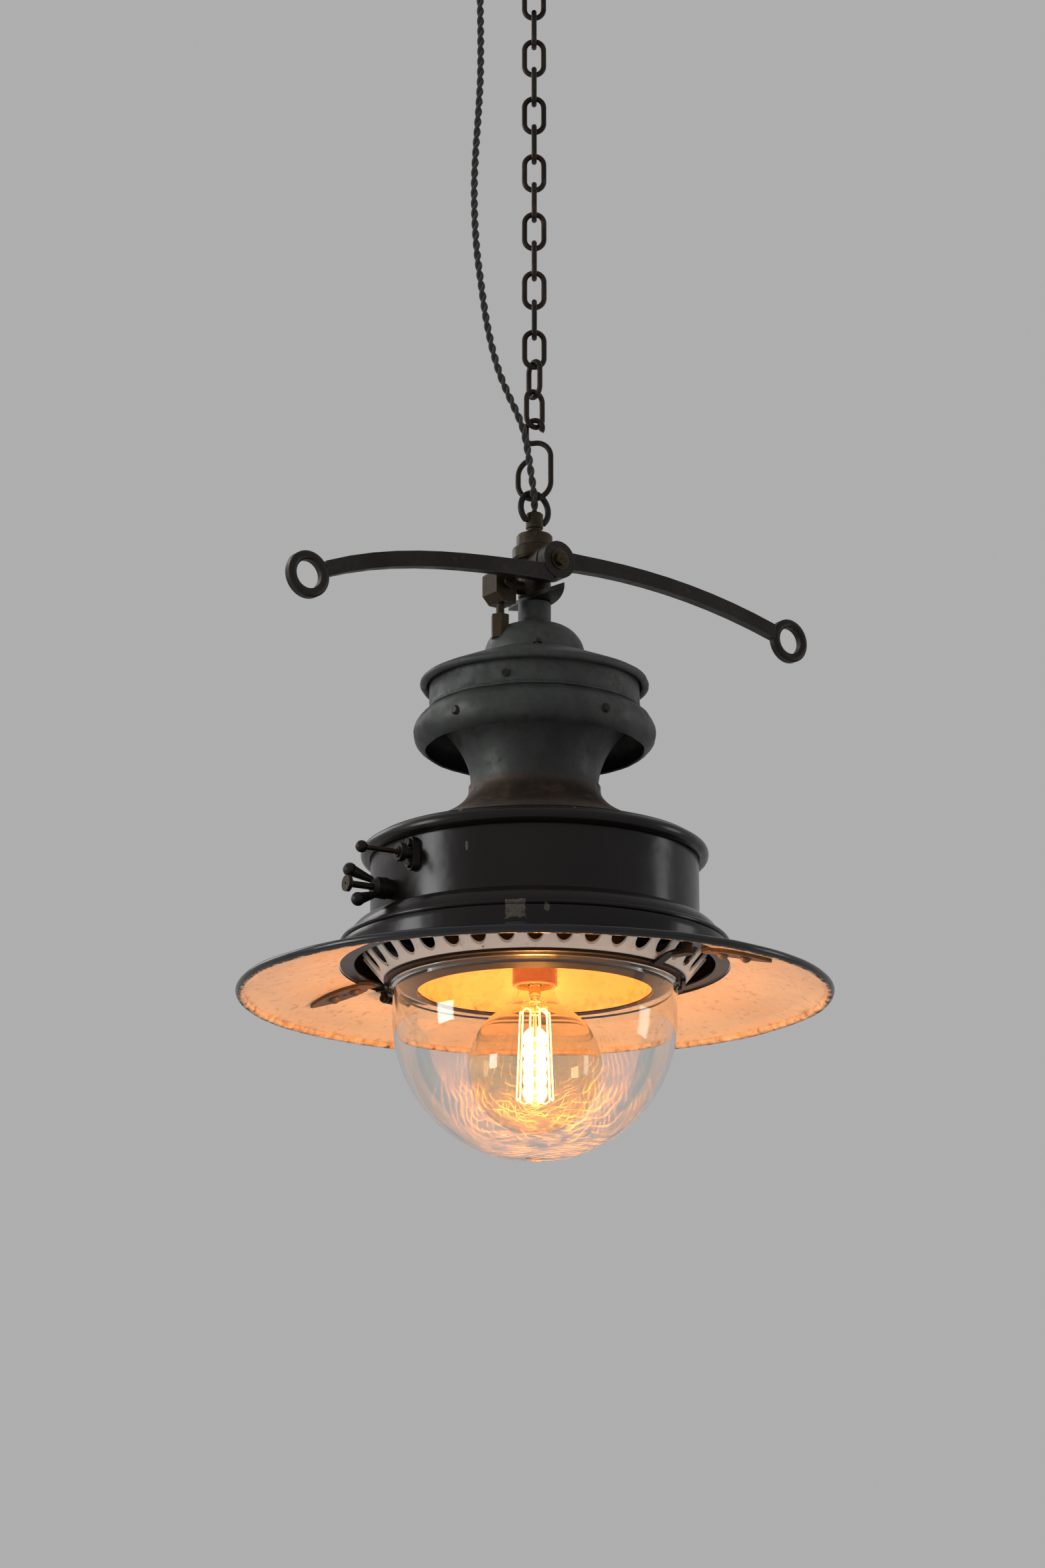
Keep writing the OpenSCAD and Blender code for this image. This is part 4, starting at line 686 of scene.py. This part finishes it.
flare = ([(flare_r(0), -699)] + [(flare_r(h), -701 - h) for h in range(0, 24)]
         + [(70.2, -727.2), (71, -728.9), (71, -731.4), (69.8, -731.1), (69.8, -729.3),
            (68.8, -728)]
         + [(flare_r(h) - 1.2, -701.6 - h) for h in range(23, -1, -1)]
         + [(flare_r(0) - 1.2, -699)])
cap = ([(36.5, -601)] + arc(14, -600, 22.5, 0, 90, 26) + [(8.1, -577.5), (8.1, -579.5)]
       + arc(14, -600, 20.5, 90, 12, 18) + [(33.6, -599.8), (29, -599.8), (29, -601)])
turned("chimney_lid_sheet", dense(lid, 4), [M["tin"]], n=224, dent=dents(0.7, 24, 3),
       replaces=["chimney_lid"], slot="old_tin")
turned("chimney_cowl_sheet", dense(cowl_out + cowl_in[::-1], 4), [M["tin"]], n=224,
       dent=dents(0.9, 19, 5), replaces=["chimney_cowl"], slot="old_tin")
turned("chimney_waist_sheet", waist, [M["tin"]], dent=dents(0.5, 24, 8),
       replaces=["chimney_waist"], slot="old_tin")
turned("chimney_flare_sheet", flare, [M["flare"]], dent=dents(0.15, 24, 11),
       replaces=["chimney_flare"], slot="brown_tin")
turned("chimney_cap_shell", cap, [M["tin"]], n=128, dent=dents(0.2, 16, 13),
       replaces=["chimney_cap"], slot="old_tin")

# The body and the reflector in it
body_lid = ([(40, -725.6), (46.5, -725.6)]
            + [(46.5 + 70.5 * t, -725.6 - 17 * t) for t in steps(0, 1, 16)[1:]]
            + arc(119.6, -750, 5, 96, -130, 30) + arc(119.6, -750, 3.6, -130, 96, 24)
            + [(117.2, -744.5), (115.9, -744), (115.9, -758.5), (114.5, -758.5),
               (114.5, -743.6), (46.5, -727.2), (40, -727.2)])
shoulder = ([(108, -800)] + arc(116.6, -817.5, 17.5, 90, 12, 22)
            + arc(136.9, -815.6, 2.2, 110, -60, 14)
            + [(138.5, -818.4), (138.5, -830.5), (128.5, -830.5), (128.5, -829), (137, -829),
               (137, -818.6)]
            + arc(116.6, -817.5, 16, 6, 90, 16) + [(108, -801.5)])
quarter = steps(0, math.pi / 2, 24)
dome = ([(16.2, -799.1), (30, -799.1)]
        + [(30 + 54 * math.sin(t), -847 + 47.9 * math.cos(t)) for t in quarter[1:]]
        + [(83, -847.2)]
        + [(29.8 + 53.2 * math.sin(t), -847.2 + 47.1 * math.cos(t)) for t in quarter[23:0:-1]]
        + [(29.8, -800.1), (16.2, -800.1)])
turned("body_lid_sheet", dense(body_lid, 6), [M["black_enamel"]], n=288,
       dent=dents(0.35, 60, 17), replaces=["body_lid"], slot="dark_enamel")
turned("body_shoulder_sheet", dense(shoulder, 5), [M["black_enamel"]], n=320,
       dent=dents(0.28, 50, 19), replaces=["body_shoulder"], slot="dark_enamel")
turned("reflector_dome", dome, [M["reflector"]], n=160, replaces=["reflector"],
       slot="reflector_enamel")

# The glass bowl with its pip
BOWL_Z, BOWL_R, BOWL_T = -868.5, 101, 2.5
bowl = ([(98.5, -844.7), (103, -844.7), (103, -847.6), (101, -849.4)]
        + arc(0, BOWL_Z, BOWL_R, 0, -87, 60)
        + [(4.4, BOWL_Z - 101.3), (2.6, BOWL_Z - 102), (0.02, BOWL_Z - 102.3),
           (0.02, BOWL_Z - 98.5)]
        + arc(0, BOWL_Z, BOWL_R - BOWL_T, -86, 0, 60))
turned("globe_bowl", bowl, [M["globe"]], "globe_door", n=224, replaces=["globe_glass"],
       slot="clear_glass")

# The bulb: a ball that runs into a neck
BULB_R, BULB_T, BULB_Z, NECK_Z = 47.5, 0.8, -903.2, -842.0


def bulb_profile(r, neck_r):
    ball = [(r * math.sin(math.radians(a)), BULB_Z + r * math.cos(math.radians(a)))
            for a in steps(179.9, 24, 60)]
    x0, z0 = ball[-1]
    neck = [(x0 + (neck_r - x0) * (1 - (1 - t) ** 1.9), z0 + (NECK_Z - z0) * t)
            for t in steps(0, 1, 12)[1:]]
    return ball + neck


outer = bulb_profile(BULB_R, 13.1) + [(12.3, -840.5), (12.3, -838)]
inner = bulb_profile(BULB_R - BULB_T, 13.1 - 0.9) + [(11.6, -840.5), (11.6, -838)]
turned("bulb_envelope", outer + inner[::-1], [M["bulb"]], n=128, replaces=["bulb_glass"],
       slot="clear_glass")


def filament():
    """One wire that runs up and down a slightly conical cage, with both ends at the stem."""
    runs, top_r, low_r = 10, 10.5, 12.9
    top_z, low_z, bend, end_z = -864, -926, 1.6, -861
    line = []
    for k in range(runs):
        a = 2 * math.pi * k / runs
        b = 2 * math.pi * (k + 0.5) / runs
        down = k % 2 == 0
        top = Vector((top_r * math.cos(a), top_r * math.sin(a), top_z + LIFT))
        low = Vector((low_r * math.cos(a), low_r * math.sin(a), low_z + LIFT))
        run = [top + (low - top) * i / 12 for i in range(13)]
        line += run if down else run[::-1]
        if k < runs - 1:
            r = low_r if down else top_r
            z = low_z - bend if down else top_z + bend
            line.append(Vector((r * math.cos(b), r * math.sin(b), z + LIFT)))
    start = [Vector((1.6, 0, -859 + LIFT)), Vector((6, 0, end_z + LIFT))]
    return start + line + [line[-1] * 0.5 + Vector((0, 0, 0.5 * (end_z + LIFT)))]


verts, faces = rod(filament(), 0.42, 8)
make("filament_wire", verts, faces, [M["glow"]], "lamp", replaces=["filament"],
     slot="filament_wire", crease=80)

# CAD nodes that stay, with their materials and rounded edges (mm)
KEEP = {
    "black_paint": "ceiling_plate",
    "moulding": "lampholder holder_ring",
    "steel": "ceiling_screws hook_nut stem_locknut conduit",
    "iron": "ceiling_hook bail stop_plate lever cowl_stays conduit_bracket "
            "shade_bolts hinge_bracket hinge_pin lower_wing upper_wing globe_clips "
            "globe_catch regulator_bosses cap_screws",
    "strap": "shade_straps strap_rivets",
    "chain": "top_link chain_links s_hook",
    "brass": "cord_grip cord_grip_nut inlet_nipple cock_body cock_plug lever_screw plug_nut "
             "bypass_block bypass_screw bypass_pipe bypass_nut lower_screw upper_screw",
    "tin": "stem_tube",
    "black_enamel": "body_drum",
    "white_enamel": "slotted_ring",
    "ring": "globe_ring",
    "braid": "inner_flex",
    "cap_brass": "bulb_cap",
    "stem_glass": "bulb_stem",
}
BEVELS = {
    0.3: "ceiling_screws hook_nut cord_grip_nut inlet_nipple bypass_nut cap_screws body_drum "
         "globe_clips globe_ring",
    0.35: "slotted_ring",
    0.4: "cord_grip lever_screw plug_nut bypass_screw stem_tube stem_locknut lampholder "
         "holder_ring shade_bolts hinge_bracket globe_catch regulator_bosses lower_wing "
         "upper_wing",
    0.5: "cock_body stop_plate lower_screw upper_screw",
    0.6: "shade_straps",
    0.8: "ceiling_plate bypass_block",
    1.2: "lever",
}
for key, names in KEEP.items():
    for n in names.split():
        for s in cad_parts[n].material_slots:
            s.material = M[key]
for width, names in BEVELS.items():
    for n in names.split():
        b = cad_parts[n].modifiers.new("bevel", "BEVEL")
        b.width = width * MM
        b.segments = 3
        b.limit_method = "ANGLE"
        b.angle_limit = math.radians(32)
        b.harden_normals = True


# Light: small lamps stacked in the filament's cage, and three soft studio lamps
def add_lamp(name, kind, energy, at):
    data = bpy.data.lights.new(name, kind)
    data.energy = energy
    ob = bpy.data.objects.new(name, data)
    ob.location = at
    scene.collection.objects.link(ob)
    return ob


def glow_light(name, z):
    ob = add_lamp(name, "POINT", 0.16, (0, 0, z))
    ob.data.color = (1.0, 0.40, 0.10)
    ob.data.shadow_soft_size = 0.0088
    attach(ob, "lamp")


def area(name, at, width, height, energy):
    ob = add_lamp(name, "AREA", energy, at)
    ob.data.shape = "RECTANGLE"
    ob.data.size = width
    ob.data.size_y = height
    aim = Vector((0, 0, -0.8)) - Vector(at)
    ob.rotation_euler = aim.to_track_quat("-Z", "Y").to_euler()


CAGE_TOP, CAGE_STEP = -0.882, 0.0095
for k in range(5):
    glow_light("bulb_light_%d" % (k + 1), CAGE_TOP - CAGE_STEP * k)
area("key", (-2.65, 1.1, -0.35), 0.8, 1.5, 32)
area("fill", (2.5, -1.4, -0.6), 0.6, 1.3, 7)
area("back", (-0.6, 2.7, 0.8), 1.3, 1.3, 14)

world = bpy.data.worlds.new("studio")
scene.world = world
world.use_nodes = True
wn = world.node_tree
wn.nodes.clear()
bg = wn.nodes.new("ShaderNodeBackground")
bg.inputs["Color"].default_value = (0.43, 0.425, 0.425, 1)
wo = wn.nodes.new("ShaderNodeOutputWorld")
wn.links.new(bg.outputs[0], wo.inputs["Surface"])

# The floor, a room's height below the ceiling
FLOOR_Z, FLOOR_HALF = -2.4, 14
paint = Mat("floor_paint")
pale = paint.mix(paint.span(paint.noise(3.0, 3.0), 0.3, 0.7), (0.80, 0.795, 0.785),
                 (0.83, 0.825, 0.815))
paint.done(paint.principled(pale, 0.8).outputs[0])
me = bpy.data.meshes.new("floor")
corners = [(x * FLOOR_HALF, y * FLOOR_HALF, FLOOR_Z)
           for x, y in ((-1, -1), (1, -1), (1, 1), (-1, 1))]
me.from_pydata(corners, [], [(0, 1, 2, 3)])
me.materials.append(paint.m)
floor = bpy.data.objects.new("floor", me)
scene.collection.objects.link(floor)
scene.view_settings.view_transform = "Standard"
